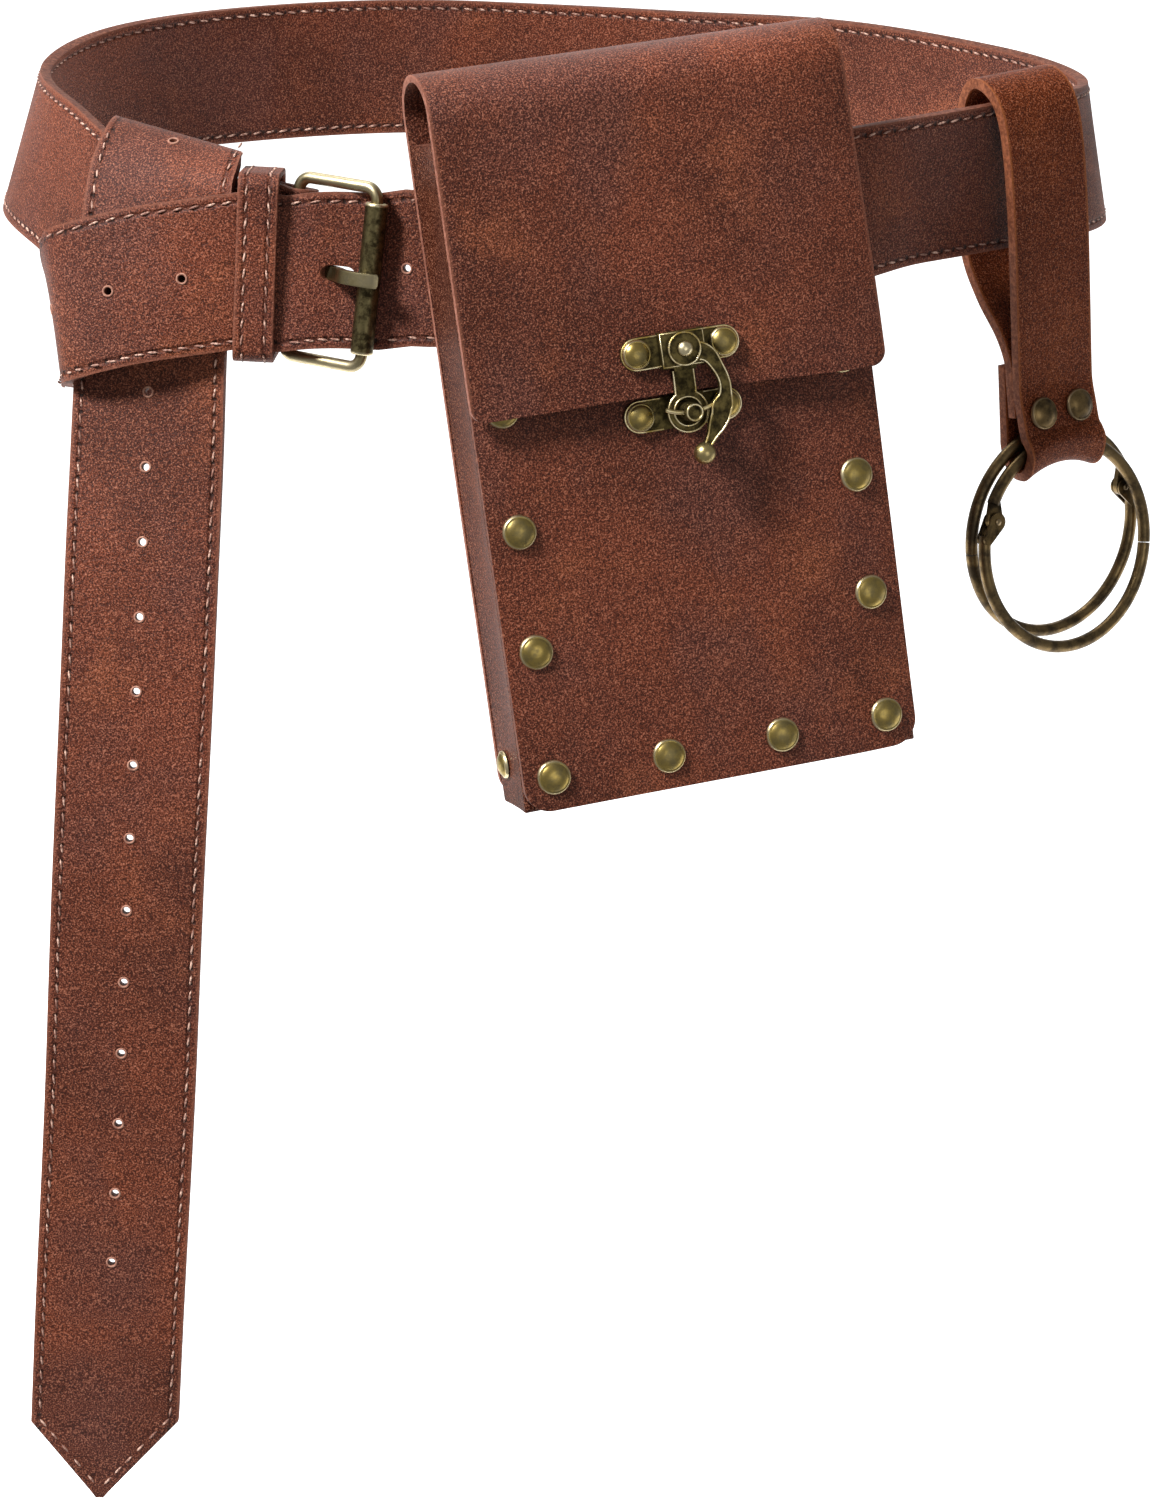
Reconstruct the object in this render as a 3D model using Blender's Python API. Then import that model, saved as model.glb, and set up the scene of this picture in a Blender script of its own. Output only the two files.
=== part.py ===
"""Leather belt with a knotted hanging end, a flap pouch and a strap hanger with two hinged rings.

Units are metres, +Z is up, -Y is the wearer's front. The origin is the middle of the waist loop.
"""

import math

import bmesh
import bpy
from mathutils import Matrix, Vector

MM = 0.001

# Leather
BELT_WIDTH = 41 * MM
BELT_THICK = 3 * MM
LAYER_GAP = 0.4 * MM
SEAM_GAP = 0.3 * MM
PIECE_GAP = 0.3 * MM

# Waist loop
WAIST_HALF_WIDTH = 152 * MM
WAIST_HALF_DEPTH = 106 * MM
LOOP_STEP = 12 * MM
LOOP_END_ROOM = 8 * MM

# Belt holes
HOLE_PITCH = 20 * MM
HOLE_RADIUS = 1.4 * MM

# Buckle
BUCKLE_BEARING = 240.5
BUCKLE_SPAN = 24.5 * MM
BUCKLE_WIRE = 1.6 * MM
BUCKLE_SIDE_ROOM = 1.6 * MM
BUCKLE_DROP = 1 * MM
BUCKLE_CORNER = 3.5 * MM
BUCKLE_ROLL = 3.5
ROLLER_RADIUS = 3 * MM
ROLLER_BORE = 1.95 * MM
PRONG_WIDTH = 3.6 * MM
PRONG_THICK = 2.4 * MM
PRONG_SLOT_WIDTH = 5.2 * MM
PRONG_SLOT = (0.37, 0.76)
FOLD_TAIL = 13 * MM

# Keeper
KEEPER_WIDTH = 10.8 * MM
KEEPER_THICK = 1.6 * MM
KEEPER_OFF_HEEL = 1.7 * MM
BUCKLE_END_LEAN = 0.09
KEEPER_ROLL = 3.0
KEEPER_LEAN = 3.0
KEEPER_ROOM = 0.5 * MM

# Pouch
POUCH_WIDTH = 109 * MM
POUCH_HEIGHT = 182 * MM
POUCH_DEPTH = 29 * MM
POUCH_THICK = 2 * MM
POUCH_CORNER = 7 * MM
FLANGE_WIDTH = 13 * MM
MOUTH_DROP = 5 * MM
FLAP_WIDTH = 111 * MM
FLAP_DROP = 78.5 * MM
FLAP_RISE = 11 * MM
FLAP_STAND_OFF = 2.7 * MM
FLAP_CORNER = 4 * MM
POUCH_PLACE = Vector((25.1 * MM, -135.8 * MM, 31.8 * MM))
POUCH_TURN = (-7.64, -6.01, 15.4)
BELT_BELOW_MOUTH = 40.5 * MM
BELT_OFF_POUCH = 0.8 * MM

# Where the belt leaves the pouch's flat back, as shares of its width beyond the loops
HOLD_FADE_LEFT = (0.0, 0.6)
HOLD_FADE_RIGHT = (0.15, 1.2)

# Loops on the pouch's back
BACK_LOOP_WIDTH = 24 * MM
BACK_LOOP_INSET = 26.5 * MM
BACK_LOOP_APART = POUCH_WIDTH - 2 * BACK_LOOP_INSET
BACK_LOOP_THICK = 2 * MM
BACK_LOOP_TAB = 9 * MM
BACK_LOOP_ROOM = 1.5 * MM

# Rivets
RIVET_HEAD = 4.65 * MM
RIVET_DOME = 2 * MM
RIVET_SHANK = 1.4 * MM
RIVET_HOLE = 1.9 * MM
RIVET_CAP = 3 * MM
RIVET_INSET = 8.2 * MM
SMALL_RIVET_HEAD = 3.8 * MM
LOOP_RIVET_HEAD = 3.2 * MM

# Clasp
CLASP_X = 1.4 * MM
CLASP_ABOVE_FLAP_EDGE = 11.3 * MM
CLASP_REACH = 16.5 * MM
CLASP_RIVET_OFF = 11.8 * MM
CLASP_PLATE_END = 4.3 * MM
CLASP_PLATE_THICK = 0.9 * MM
CLASP_BRIDGE_HALF = 6 * MM
CLASP_BRIDGE_RISE = 2.6 * MM
CLASP_NECK_HALF = 3 * MM
CLASP_EYE = 5.6 * MM
CLASP_EYE_HOLE = 3.5 * MM
POST_RADIUS = 2.2 * MM
POST_RISE = 2.3 * MM
LEVER_THICK = 1.3 * MM
LEVER_HEAD = 4.5 * MM
LEVER_BALL = 2.9 * MM
SPUR_RADIUS = 0.6 * MM
SPUR_ROOM = 0.45 * MM
PIVOT_RADIUS = 1.1 * MM
PIVOT_ROOM = 0.4 * MM
PIVOT_HEAD = 2 * MM

# Ring hanger
HANGER_WIDTH = 27 * MM
HANGER_THICK = 2.8 * MM
HANGER_BEARING = 335.0
HANGER_TURN = 35.0
HANGER_LEAN = 4.5
HANGER_DROP = 83 * MM
HANGER_FRONT = 11.6 * MM
HANGER_RIVET_OFF = 6.6 * MM
HANGER_SHIFT = 7.0 * MM
HANGER_RIVET_UP = 17.5 * MM
HANGER_RIVET_TILT = -12.0
FOLD_ROOM = 4.4 * MM
FOLD_ARCH = 3.25 * MM

# Rings
RING_RADIUS = 29.5 * MM
RING_WIRE = 1.75 * MM
RING_TURN = 34.0
RING_SPREAD = 2.45 * MM
RING_STACK = 3.3 * MM
RING_SPLAY = 6.0
RING_LIFT = 1.5 * MM
RING_BACK = 0.4 * MM
HINGE_ANGLE = 160.0
SNAP_ANGLE = -7.0
HINGE_INSET = 2.3 * MM
HINGE_PIN = 0.9 * MM
HINGE_ROOM = 0.3 * MM
HINGE_KNUCKLE = 2.6 * MM
HINGE_CUT = 9.0
EYE_HALF = 0.85 * MM
EAR_INNER = 1.15 * MM

# The belt's line round the waist: reach is a share of the oval's radius at that bearing, rise a share
# of the belt's width, and lean the angle by which the top edge tips towards the wearer.
# bearing, reach, rise, lean
BELT_ROUND = (
    (0.0, 1.054, -0.05, 10.0),
    (22.5, 1.063, 0.04, 13.0),
    (45.0, 1.059, 0.14, 11.0),
    (67.5, 1.025, 0.17, 7.0),
    (90.0, 0.981, 0.22, 2.0),
    (112.5, 0.944, 0.27, 0.0),
    (135.0, 0.935, 0.27, 1.0),
    (157.5, 0.954, 0.22, 9.0),
    (180.0, 0.972, 0.10, 17.0),
    (202.5, 1.030, -0.03, 15.0),
    (225.0, 1.170, -0.32, 9.0),
    (247.5, 1.171, -0.41, 5.0),
    (270.0, 1.094, -0.37, 3.0),
    (292.5, 1.007, -0.25, 2.0),
    (315.0, 1.000, -0.10, -7.0),
    (337.5, 1.014, -0.03, -2.0),
)

# The tongue from behind the roller to the heel of the buckle.
# share of the span from the heel, shift out in layers, shift down as a share of the width
BEHIND_ROLLER_ROWS = (
    (1.0, 0.0, 0.035),
    (0.62, 0.2, 0.03),
    (0.3, 0.72, 0.04),
    (0.0, 1.15, 0.07),
)

# The tongue from the heel of the buckle to the turn at its left, and its hidden way under and behind
# the belt. Places are shares of the belt's width from the knot, the next three columns point to the
# strap's lower edge, and the last is the share of the width that is left where it is gathered.
# right, back, up, across x, across y, across z, width
KNOT_BEARING = 224.0
KNOT_DROP = 0.24
TONGUE_ROWS = (
    (0.66, -0.505, -0.19, 0.00, -0.03, -1.0, 1.0),
    (0.30, -0.500, -0.24, 0.02, -0.07, -1.0, 1.0),
    (-0.02, -0.475, -0.29, 0.04, -0.14, -1.0, 1.0),
    (-0.26, -0.450, -0.345, 0.05, -0.14, -1.0, 1.0),
    (-0.444, -0.410, -0.40, 0.06, -0.13, -1.0, 1.0),
    (-0.571, -0.300, -0.46, 0.08, -0.09, -1.0, 1.0),
    (-0.610, -0.080, -0.56, 0.13, 0.10, -0.98, 0.97),
    (-0.570, 0.150, -0.70, 0.22, 0.30, -0.92, 0.92),
    (-0.450, 0.350, -0.90, 0.38, 0.34, -0.86, 0.86),
    (-0.260, 0.470, -1.04, 0.58, 0.18, -0.80, 0.82),
    (-0.030, 0.430, -0.90, 0.76, -0.20, -0.60, 0.84),
    (0.093, 0.340, -0.52, 0.80, -0.50, -0.20, 0.92),
    (0.100, 0.288, -0.19, 0.80, -0.60, 0.00, 1.0),
    (0.100, 0.275, 0.0127, 0.80, -0.60, 0.00, 1.0),
)

# The hanging end from its hidden start behind the belt, over the top edge and down to its point.
# right, back, up, turn of its width from straight right, and how far its right edge drops
HANGING_ROWS = (
    (0.100, 0.275, 0.020, -37.0, 0.00),
    (0.110, 0.274, 0.180, -36.5, -0.04),
    (0.135, 0.300, 0.375, -35.0, -0.11),
    (0.165, 0.246, 0.533, -32.0, -0.16),
    (0.180, 0.085, 0.562, -27.0, -0.18),
    (0.155, -0.075, 0.496, -24.0, -0.17),
    (0.120, -0.205, 0.385, -20.0, -0.12),
    (0.092, -0.275, 0.190, -15.0, -0.06),
    (0.070, -0.315, -0.04, -12.5, -0.02),
    (0.040, -0.328, -0.45, -10.5, 0.00),
    (0.010, -0.355, -0.90, -8.5, 0.00),
    (-0.015, -0.480, -1.45, -4.0, 0.00),
    (-0.045, -0.635, -2.05, -1.0, 0.00),
    (-0.095, -0.800, -2.97, 0.0, 0.00),
    (-0.180, -0.950, -4.30, 0.0, 0.00),
    (-0.260, -1.060, -5.66, 0.0, 0.00),
    (-0.360, -1.150, -7.06, 0.0, 0.00),
    (-0.420, -1.180, -7.94, 0.0, 0.00),
)

# The front rivets' heights below the mouth as shares of the pouch's height, and the places of the
# middle ones along the bottom as shares of its width.
SIDE_RIVET_ROWS = (0.951, 0.768, 0.594, 0.420, 0.246, 0.085)
BOTTOM_RIVET_ROW = (-0.134, 0.156)
HANGING_POINT = (-0.472, -1.200, -8.50)
# share of the way from the full width to the point, share of the full width there
POINT_ROWS = ((0.50, 0.52), (0.92, 0.12), (1.00, 0.05))
TOP_HANGING_HOLE = 32.3 * MM
FIRST_HANGING_HOLE = 61.5 * MM
HANGING_HOLES = 15

# The clasp lever's arm from the pivot to the ball, as shares of the clasp's reach.
# right, up, width
LEVER_ROWS = (
    (0.00, 0.00, 0.36),
    (0.34, -0.12, 0.27),
    (0.50, -0.37, 0.19),
    (0.58, -0.60, 0.18),
    (0.55, -0.84, 0.20),
    (0.47, -1.03, 0.22),
    (0.34, -1.21, 0.17),
    (0.22, -1.37, 0.12),
    (0.13, -1.60, 0.10),
)
LEVER_BALL_AT = (0.115, -1.67)

# The hanger strap's middle line: out is a share of its stand-off in front of the belt, and down a
# share of its drop. It starts at the short end behind the rivets and ends between the layers.
# out, down, bow
HANGER_ROWS = (
    (0.457, 0.627, 0.0),
    (0.457, 0.850, 0.0),
    (0.462, 0.910, 0.3),
    (0.590, 0.972, 0.9),
    (0.780, 0.996, 1.0),
    (0.948, 1.000, 1.0),
    (1.150, 0.996, 1.0),
    (1.330, 0.972, 1.0),
    (1.430, 0.920, 0.8),
    (1.330, 0.885, 0.3),
    (1.200, 0.857, 0.0),
    (1.095, 0.790, 0.0),
    (0.990, 0.722, 0.0),
    (0.975, 0.650, 0.0),
    (0.985, 0.420, 0.0),
    (0.980, 0.145, 0.0),
    (0.890, -0.080, 0.0),
    (0.680, -0.225, 0.0),
    (0.240, -0.298, 0.0),
    (-0.340, -0.310, 0.0),
    (-0.740, -0.215, 0.0),
    (-0.820, 0.000, 0.0),
    (-0.800, 0.250, 0.0),
    (-0.300, 0.400, 0.0),
    (0.380, 0.520, 0.0),
    (0.690, 0.610, 0.0),
    (0.728, 0.680, 0.0),
    (0.800, 0.800, 0.0),
)

LEATHER_RED = (0.22, 0.07, 0.035, 1.0)
LEATHER_TAN = (0.40, 0.13, 0.05, 1.0)
BRASS = (0.42, 0.33, 0.14, 1.0)
BRONZE = (0.20, 0.14, 0.07, 1.0)


def clear_scene():
    for obj in list(bpy.data.objects):
        bpy.data.objects.remove(obj, do_unlink=True)


def make_material(name, color, roughness, metallic):
    material = bpy.data.materials.new(name)
    material.use_nodes = True
    shader = material.node_tree.nodes["Principled BSDF"]
    shader.inputs["Base Color"].default_value = color
    shader.inputs["Roughness"].default_value = roughness
    shader.inputs["Metallic"].default_value = metallic
    material.diffuse_color = color
    return material


def add_object(name, bm, finish, parent=None):
    """Names a mesh, gives it its own copy of a finish and puts it in the scene."""
    mesh = bpy.data.meshes.new(name)
    bm.to_mesh(mesh)
    bm.free()
    obj = bpy.data.objects.new(name, mesh)
    bpy.context.scene.collection.objects.link(obj)
    color, roughness, metallic = finish
    mesh.materials.append(make_material(name, color, roughness, metallic))
    obj.parent = parent
    bpy.context.view_layer.update()
    return obj


def add_empty(name, place, parent=None):
    empty = bpy.data.objects.new(name, None)
    bpy.context.scene.collection.objects.link(empty)
    empty.parent = parent
    empty.matrix_local = place
    return empty


def apply_modifiers(obj):
    bpy.context.view_layer.update()
    graph = bpy.context.evaluated_depsgraph_get()
    mesh = bpy.data.meshes.new_from_object(obj.evaluated_get(graph))
    obj.modifiers.clear()
    obj.data = mesh


def boolean(obj, other, operation):
    """Joins or cuts with another object, then removes that object."""
    bpy.context.view_layer.update()
    modifier = obj.modifiers.new(operation.lower(), "BOOLEAN")
    modifier.object = other
    modifier.operation = operation
    modifier.solver = "EXACT"
    modifier.use_self = False
    apply_modifiers(obj)
    bpy.data.objects.remove(other, do_unlink=True)


def smooth(rows, place):
    """A row read between the rows of a table, on a smooth curve through them."""
    last = len(rows) - 1
    place = min(max(place, 0.0), last)
    first = min(int(place), last - 1)
    f = place - first
    p1 = rows[first]
    p2 = rows[first + 1]
    p0 = rows[first - 1] if first > 0 else [2 * a - b for a, b in zip(p1, p2)]
    p3 = rows[first + 2] if first + 2 <= last else [2 * b - a for a, b in zip(p1, p2)]
    found = []
    for a, b, c, d in zip(p0, p1, p2, p3):
        bend = (2 * a - 5 * b + 4 * c - d) * f * f
        found.append(0.5 * (2 * b + (c - a) * f + bend + (3 * b - a - 3 * c + d) * f**3))
    return found


def round_table(bearing):
    """Reach, rise and lean of the belt at a bearing."""
    step = 360.0 / len(BELT_ROUND)
    count = len(BELT_ROUND)
    place = (bearing / step) % count
    first = int(place)
    rows = [BELT_ROUND[(first + k) % count][1:] for k in (-1, 0, 1, 2)]
    return smooth(rows, 1 + place - first)


def belt_centre(bearing):
    reach, rise, _ = round_table(bearing)
    angle = math.radians(bearing)
    oval = 1 / math.hypot(math.cos(angle) / WAIST_HALF_WIDTH, math.sin(angle) / WAIST_HALF_DEPTH)
    radius = reach * oval
    return Vector((radius * math.cos(angle), radius * math.sin(angle), rise * BELT_WIDTH))


def pouch_matrix():
    pitch, roll, yaw = (math.radians(value) for value in POUCH_TURN)
    turn = Matrix.Rotation(yaw, 4, "Z") @ Matrix.Rotation(pitch, 4, "X") @ Matrix.Rotation(roll, 4, "Y")
    return Matrix.Translation(POUCH_PLACE) @ turn


def smoothstep(low, high, value):
    share = min(max((value - low) / (high - low), 0.0), 1.0)
    return share * share * (3 - 2 * share)


def belt_frame(bearing):
    """Centre, way to the right, outward face and way up of the belt at a bearing."""
    lean = math.radians(round_table(bearing)[2])
    centre = belt_centre(bearing)
    along = (belt_centre(bearing + 0.5) - belt_centre(bearing - 0.5)).normalized()
    outward = Vector((along.y, -along.x, 0)).normalized()
    upright = outward.cross(along).normalized()
    if upright.z < 0:
        upright.negate()
    up = upright * math.cos(lean) - outward * math.sin(lean)
    return hold_to_pouch(centre, along, up)


def hold_to_pouch(centre, along, up):
    """Lays the belt flat against the pouch's back where the loops hold it."""
    place = pouch_matrix()
    local = place.inverted() @ centre
    half = 0.5 * BACK_LOOP_APART + 0.5 * BACK_LOOP_WIDTH
    start, end = HOLD_FADE_RIGHT if local.x > 0 else HOLD_FADE_LEFT
    held = 1 - smoothstep(half + start * BELT_WIDTH, half + end * BELT_WIDTH, abs(local.x))
    if centre.y > 0:
        held = 0.0
    back = POUCH_DEPTH + BELT_OFF_POUCH + 0.5 * BELT_THICK
    flat = place @ Vector((local.x, back, -BELT_BELOW_MOUTH))
    turn = place.to_3x3()
    centre = centre.lerp(flat, held)
    along = along.lerp(turn @ Vector((1, 0, 0)), held).normalized()
    up = up.lerp(turn @ Vector((0, 0, 1)), held)
    up = (up - along * up.dot(along)).normalized()
    return centre, along, along.cross(up), up


def belt_walk():
    """Bearings at equal steps along the belt, once round from the heel, going left."""
    fine = 1440
    bearings = [BUCKLE_BEARING - 360.0 * i / fine for i in range(fine + 1)]
    points = [belt_frame(bearing)[0] for bearing in bearings]
    lengths = [0.0]
    for a, b in zip(points, points[1:]):
        lengths.append(lengths[-1] + (b - a).length)
    return bearings, lengths


WALK = belt_walk()


def belt_length():
    return WALK[1][-1]


def belt_at(distance):
    """The belt's frame at a distance from the buckle's heel, going left round the waist."""
    bearings, lengths = WALK
    distance = distance % lengths[-1]
    low, high = 0, len(lengths) - 1
    while high - low > 1:
        middle = (low + high) // 2
        if lengths[middle] <= distance:
            low = middle
        else:
            high = middle
    share = (distance - lengths[low]) / (lengths[high] - lengths[low])
    return belt_frame(bearings[low] + share * (bearings[high] - bearings[low]))


def strip_sections(centres, widths_across, half_widths):
    """Sections of a strap: centre, unit vector across it and half its width there."""
    return [(c, a.normalized(), h) for c, a, h in zip(centres, widths_across, half_widths)]


def strip_mesh(sections, columns=2, bows=None):
    """A sheet through the sections, made by drawing its first edge out from section to section."""
    bm = bmesh.new()

    def place(i, j):
        centre, across, half = sections[i]
        share = 2.0 * j / columns - 1.0
        point = centre + across * half * share
        if bows:
            point = point + bows[i] * (1 - share * share)
        return point

    row = [bm.verts.new(place(0, j)) for j in range(columns + 1)]
    edges = [bm.edges.new((row[j], row[j + 1])) for j in range(columns)]
    for i in range(1, len(sections)):
        drawn = bmesh.ops.extrude_edge_only(bm, edges=edges)["geom"]
        edges = [item for item in drawn if isinstance(item, bmesh.types.BMEdge) and item.is_boundary]
        edges = [edge for edge in edges if all(v in drawn for v in edge.verts)]
        for vert in {v for edge in edges for v in edge.verts}:
            j = min(range(columns + 1), key=lambda k: (place(i - 1, k) - vert.co).length)
            vert.co = place(i, j)
        edges = [e for e in edges if len(e.link_faces) == 1]
        edges = [e for e in edges if not any(len(v.link_faces) == 0 for v in e.verts)]
        edges = keep_end_row(edges, [place(i, k) for k in range(columns + 1)])
    return bm


def keep_end_row(edges, places):
    """Only the edges that lie along the newest section."""
    def on_row(vert):
        return any((vert.co - place).length < 1e-7 for place in places)

    return [edge for edge in edges if on_row(edge.verts[0]) and on_row(edge.verts[1])]


def add_leather(name, sections, thick, finish, parent=None, columns=2, bows=None):
    """A leather strap of even thickness about the sheet through its sections."""
    obj = add_object(name, strip_mesh(sections, columns, bows), finish, parent)
    modifier = obj.modifiers.new("thickness", "SOLIDIFY")
    modifier.thickness = thick
    modifier.offset = 0
    modifier.use_even_offset = True
    apply_modifiers(obj)
    return obj


def walk_sections(sections):
    lengths = [0.0]
    for a, b in zip(sections, sections[1:]):
        lengths.append(lengths[-1] + (b[0] - a[0]).length)
    return lengths


def section_at(sections, lengths, distance):
    """Centre, across and face of a strap at a distance along it."""
    i = max(k for k in range(len(lengths) - 1) if lengths[k] <= distance)
    share = (distance - lengths[i]) / (lengths[i + 1] - lengths[i])
    centre = sections[i][0].lerp(sections[i + 1][0], share)
    along = (sections[i + 1][0] - sections[i][0]).normalized()
    across = sections[i][1].lerp(sections[i + 1][1], share)
    across = (across - along * across.dot(along)).normalized()
    return centre, across, across.cross(along)


def place_matrix(centre, x, y, z):
    matrix = Matrix((x, y, z)).transposed().to_4x4()
    matrix.translation = centre
    return matrix


def add_rod(bm, matrix, radius, length, sides):
    bmesh.ops.create_cone(
        bm, cap_ends=True, segments=sides, radius1=radius, radius2=radius, depth=length, matrix=matrix
    )


def cut_with(obj, bm, name="cutter"):
    """Cuts an object with the closed shapes in a mesh of its own frame."""
    bm.normal_update()
    cutter = add_object(name, bm, (BRASS, 0.5, 0.0))
    cutter.display_type = "WIRE"
    cutter.hide_render = True
    cutter.matrix_world = obj.matrix_world
    bpy.context.view_layer.update()
    boolean(obj, cutter, "DIFFERENCE")


def join_with(obj, bm, name="joined"):
    """Joins the closed shape in a mesh of the object's own frame to it."""
    bm.normal_update()
    other = add_object(name, bm, (BRASS, 0.5, 0.0))
    other.matrix_world = obj.matrix_world
    bpy.context.view_layer.update()
    boolean(obj, other, "UNION")


def punch_holes(obj, sections, distances):
    lengths = walk_sections(sections)
    bm = bmesh.new()
    for distance in distances:
        centre, across, face = section_at(sections, lengths, distance)
        matrix = place_matrix(centre, across, face.cross(across), face)
        add_rod(bm, matrix, HOLE_RADIUS, 3 * BELT_THICK, 6)
    cut_with(obj, bm)


LEATHER = (LEATHER_RED, 0.55, 0.0)
TAN = (LEATHER_TAN, 0.5, 0.0)
ANTIQUE_BRASS = (BRASS, 0.35, 1.0)
DARK_BRONZE = (BRONZE, 0.4, 1.0)


# Belt


def heel_radius():
    """From the heel bar's axis to the middle of the leather folded round it."""
    return BUCKLE_WIRE + 1.5 * LAYER_GAP + 0.5 * BELT_THICK


def heel_axis():
    centre, along, out, up = belt_at(0.0)
    return centre - out * heel_radius(), along, out, up


def fold_stations():
    """The buckle end: a tail on the inner side, then half a turn round the heel bar."""
    stations = []
    steps = 2
    for i in range(steps):
        distance = FOLD_TAIL * (1 - i / steps)
        centre, along, out, up = belt_at(distance)
        stations.append((centre - out * 2 * heel_radius(), -up))
    bar = buckle_matrix()
    forward, inward, upright = (bar.col[k].to_3d() for k in range(3))
    turns = 8
    for i in range(turns + 1):
        angle = math.pi * i / turns
        spot = forward * math.sin(angle) + inward * math.cos(angle)
        stations.append((bar.translation + spot * heel_radius(), -upright))
    return stations


def loop_stations():
    """Once round the waist, from just left of the heel to just right of the roller."""
    total = belt_length() - BUCKLE_SPAN - LOOP_END_ROOM
    count = round(total / LOOP_STEP)
    stations = []
    for i in range(1, count + 1):
        centre, _, _, up = belt_at(total * i / count)
        stations.append((centre, -up))
    return stations


def buckle_stations():
    """Behind the roller and out over the heel bar."""
    stations = []
    for share, layers, down in BEHIND_ROLLER_ROWS:
        centre, _, out, up = belt_at(belt_length() - share * BUCKLE_SPAN - 1e-6)
        centre = centre + out * layers * (BELT_THICK + LAYER_GAP) - up * down * BELT_WIDTH
        stations.append((centre, -up))
    return stations


def knot_place():
    place = belt_centre(KNOT_BEARING)
    place.z = -KNOT_DROP * BELT_WIDTH
    return place


def tongue_stations():
    stations = []
    steps = 2 * (len(TONGUE_ROWS) - 1)
    for i in range(steps + 1):
        row = smooth(TONGUE_ROWS, (len(TONGUE_ROWS) - 1) * i / steps)
        centres = knot_place() + Vector(row[:3]) * BELT_WIDTH
        stations.append((centres, Vector(row[3:6]), row[6]))
    return stations


def belt_strap_sections():
    stations = fold_stations() + loop_stations() + buckle_stations()
    stations = [(centre, across, 1.0) for centre, across in stations] + tongue_stations()
    halves = [0.5 * BELT_WIDTH * width for _, _, width in stations]
    return strip_sections([s[0] for s in stations], [s[1].normalized() for s in stations], halves)


def distance_to(sections, point):
    """How far along a strap, after its waist loop, the section nearest to a point lies."""
    lengths = walk_sections(sections)
    start = 0.5 * lengths[-1]
    near = [(c[0] - point).length if lengths[i] > start else 1.0 for i, c in enumerate(sections)]
    return lengths[near.index(min(near))]


def make_belt_strap():
    sections = belt_strap_sections()
    strap = add_leather("belt_strap", sections, BELT_THICK, LEATHER)
    lengths = walk_sections(sections)
    heel = distance_to(sections, buckle_stations()[-1][0])
    prong = heel - 0.54 * BUCKLE_SPAN
    last = lengths[-1] - 0.4 * HOLE_PITCH
    holes = [prong - HOLE_PITCH] + [prong + k * HOLE_PITCH for k in range(1, 12)]
    punch_holes(strap, sections, [d for d in holes if d < last])
    cut_prong_slots(strap)
    return strap


def cut_prong_slots(strap):
    """A slot where the prong comes through the tongue, and one in the fold round the bar."""
    outside = heel_radius() + 0.5 * BELT_THICK
    half = 0.5 * PRONG_SLOT_WIDTH
    near, far = (share * BUCKLE_SPAN for share in PRONG_SLOT)
    # low and high corners in the buckle's own frame
    boxes = (
        ((near, -1.6 * BELT_THICK, -half), (far, 1.8 * BELT_THICK, half)),
        ((-1.7 * BUCKLE_WIRE, -outside - LAYER_GAP / 2, -half), (1.3 * outside, 1.3 * outside, half)),
    )
    for low, high in boxes:
        bm = bmesh.new()
        add_block(bm, low, high)
        bmesh.ops.transform(bm, matrix=buckle_matrix(), verts=bm.verts)
        cut_with(strap, bm)


def hanging_sections():
    centres, across, halves = [], [], []
    last = len(HANGING_ROWS) - 1
    for i in range(2 * last + 1):
        row = smooth(HANGING_ROWS, i / 2)
        angle = math.radians(row[3])
        centres.append(knot_place() + Vector(row[:3]) * BELT_WIDTH)
        across.append(Vector((math.cos(angle), math.sin(angle), row[4])))
        halves.append(0.5 * BELT_WIDTH)
    shoulder = centres[-1]
    tip = knot_place() + Vector(HANGING_POINT) * BELT_WIDTH
    for way, width in POINT_ROWS:
        centres.append(shoulder.lerp(tip, way))
        across.append(across[-1])
        halves.append(0.5 * BELT_WIDTH * width)
    return strip_sections(centres, across, halves)


def make_hanging_end():
    sections = hanging_sections()
    strap = add_leather("belt_hanging_end", sections, BELT_THICK, LEATHER)
    holes = [TOP_HANGING_HOLE] + [FIRST_HANGING_HOLE + k * HOLE_PITCH for k in range(HANGING_HOLES)]
    punch_holes(strap, sections, holes)
    return strap


def keeper_box():
    """Middle of the keeper and half its depth and height, round the buckle end and the tongue."""
    centre, _, out, up = belt_at(FOLD_TAIL)
    tail = centre - out * 2 * heel_radius()
    tongue = knot_place() + Vector(TONGUE_ROWS[0][:3]) * BELT_WIDTH
    room = 0.5 * BELT_THICK + KEEPER_ROOM + 0.5 * KEEPER_THICK
    front = tongue.y - room - 0.6 * KEEPER_ROOM
    back = tail.y + room + BUCKLE_END_LEAN * BELT_WIDTH
    heel = buckle_matrix().translation
    low = tongue.z - 0.555 * BELT_WIDTH - KEEPER_ROOM - 0.5 * KEEPER_THICK
    high = centre.z + 0.51 * BELT_WIDTH + KEEPER_ROOM + 0.5 * KEEPER_THICK
    x = heel.x - BUCKLE_WIRE - KEEPER_OFF_HEEL - 0.5 * KEEPER_WIDTH
    middle = Vector((x, 0.5 * (front + back), 0.5 * (low + high)))
    return middle, 0.5 * (back - front), 0.5 * (high - low)


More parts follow.
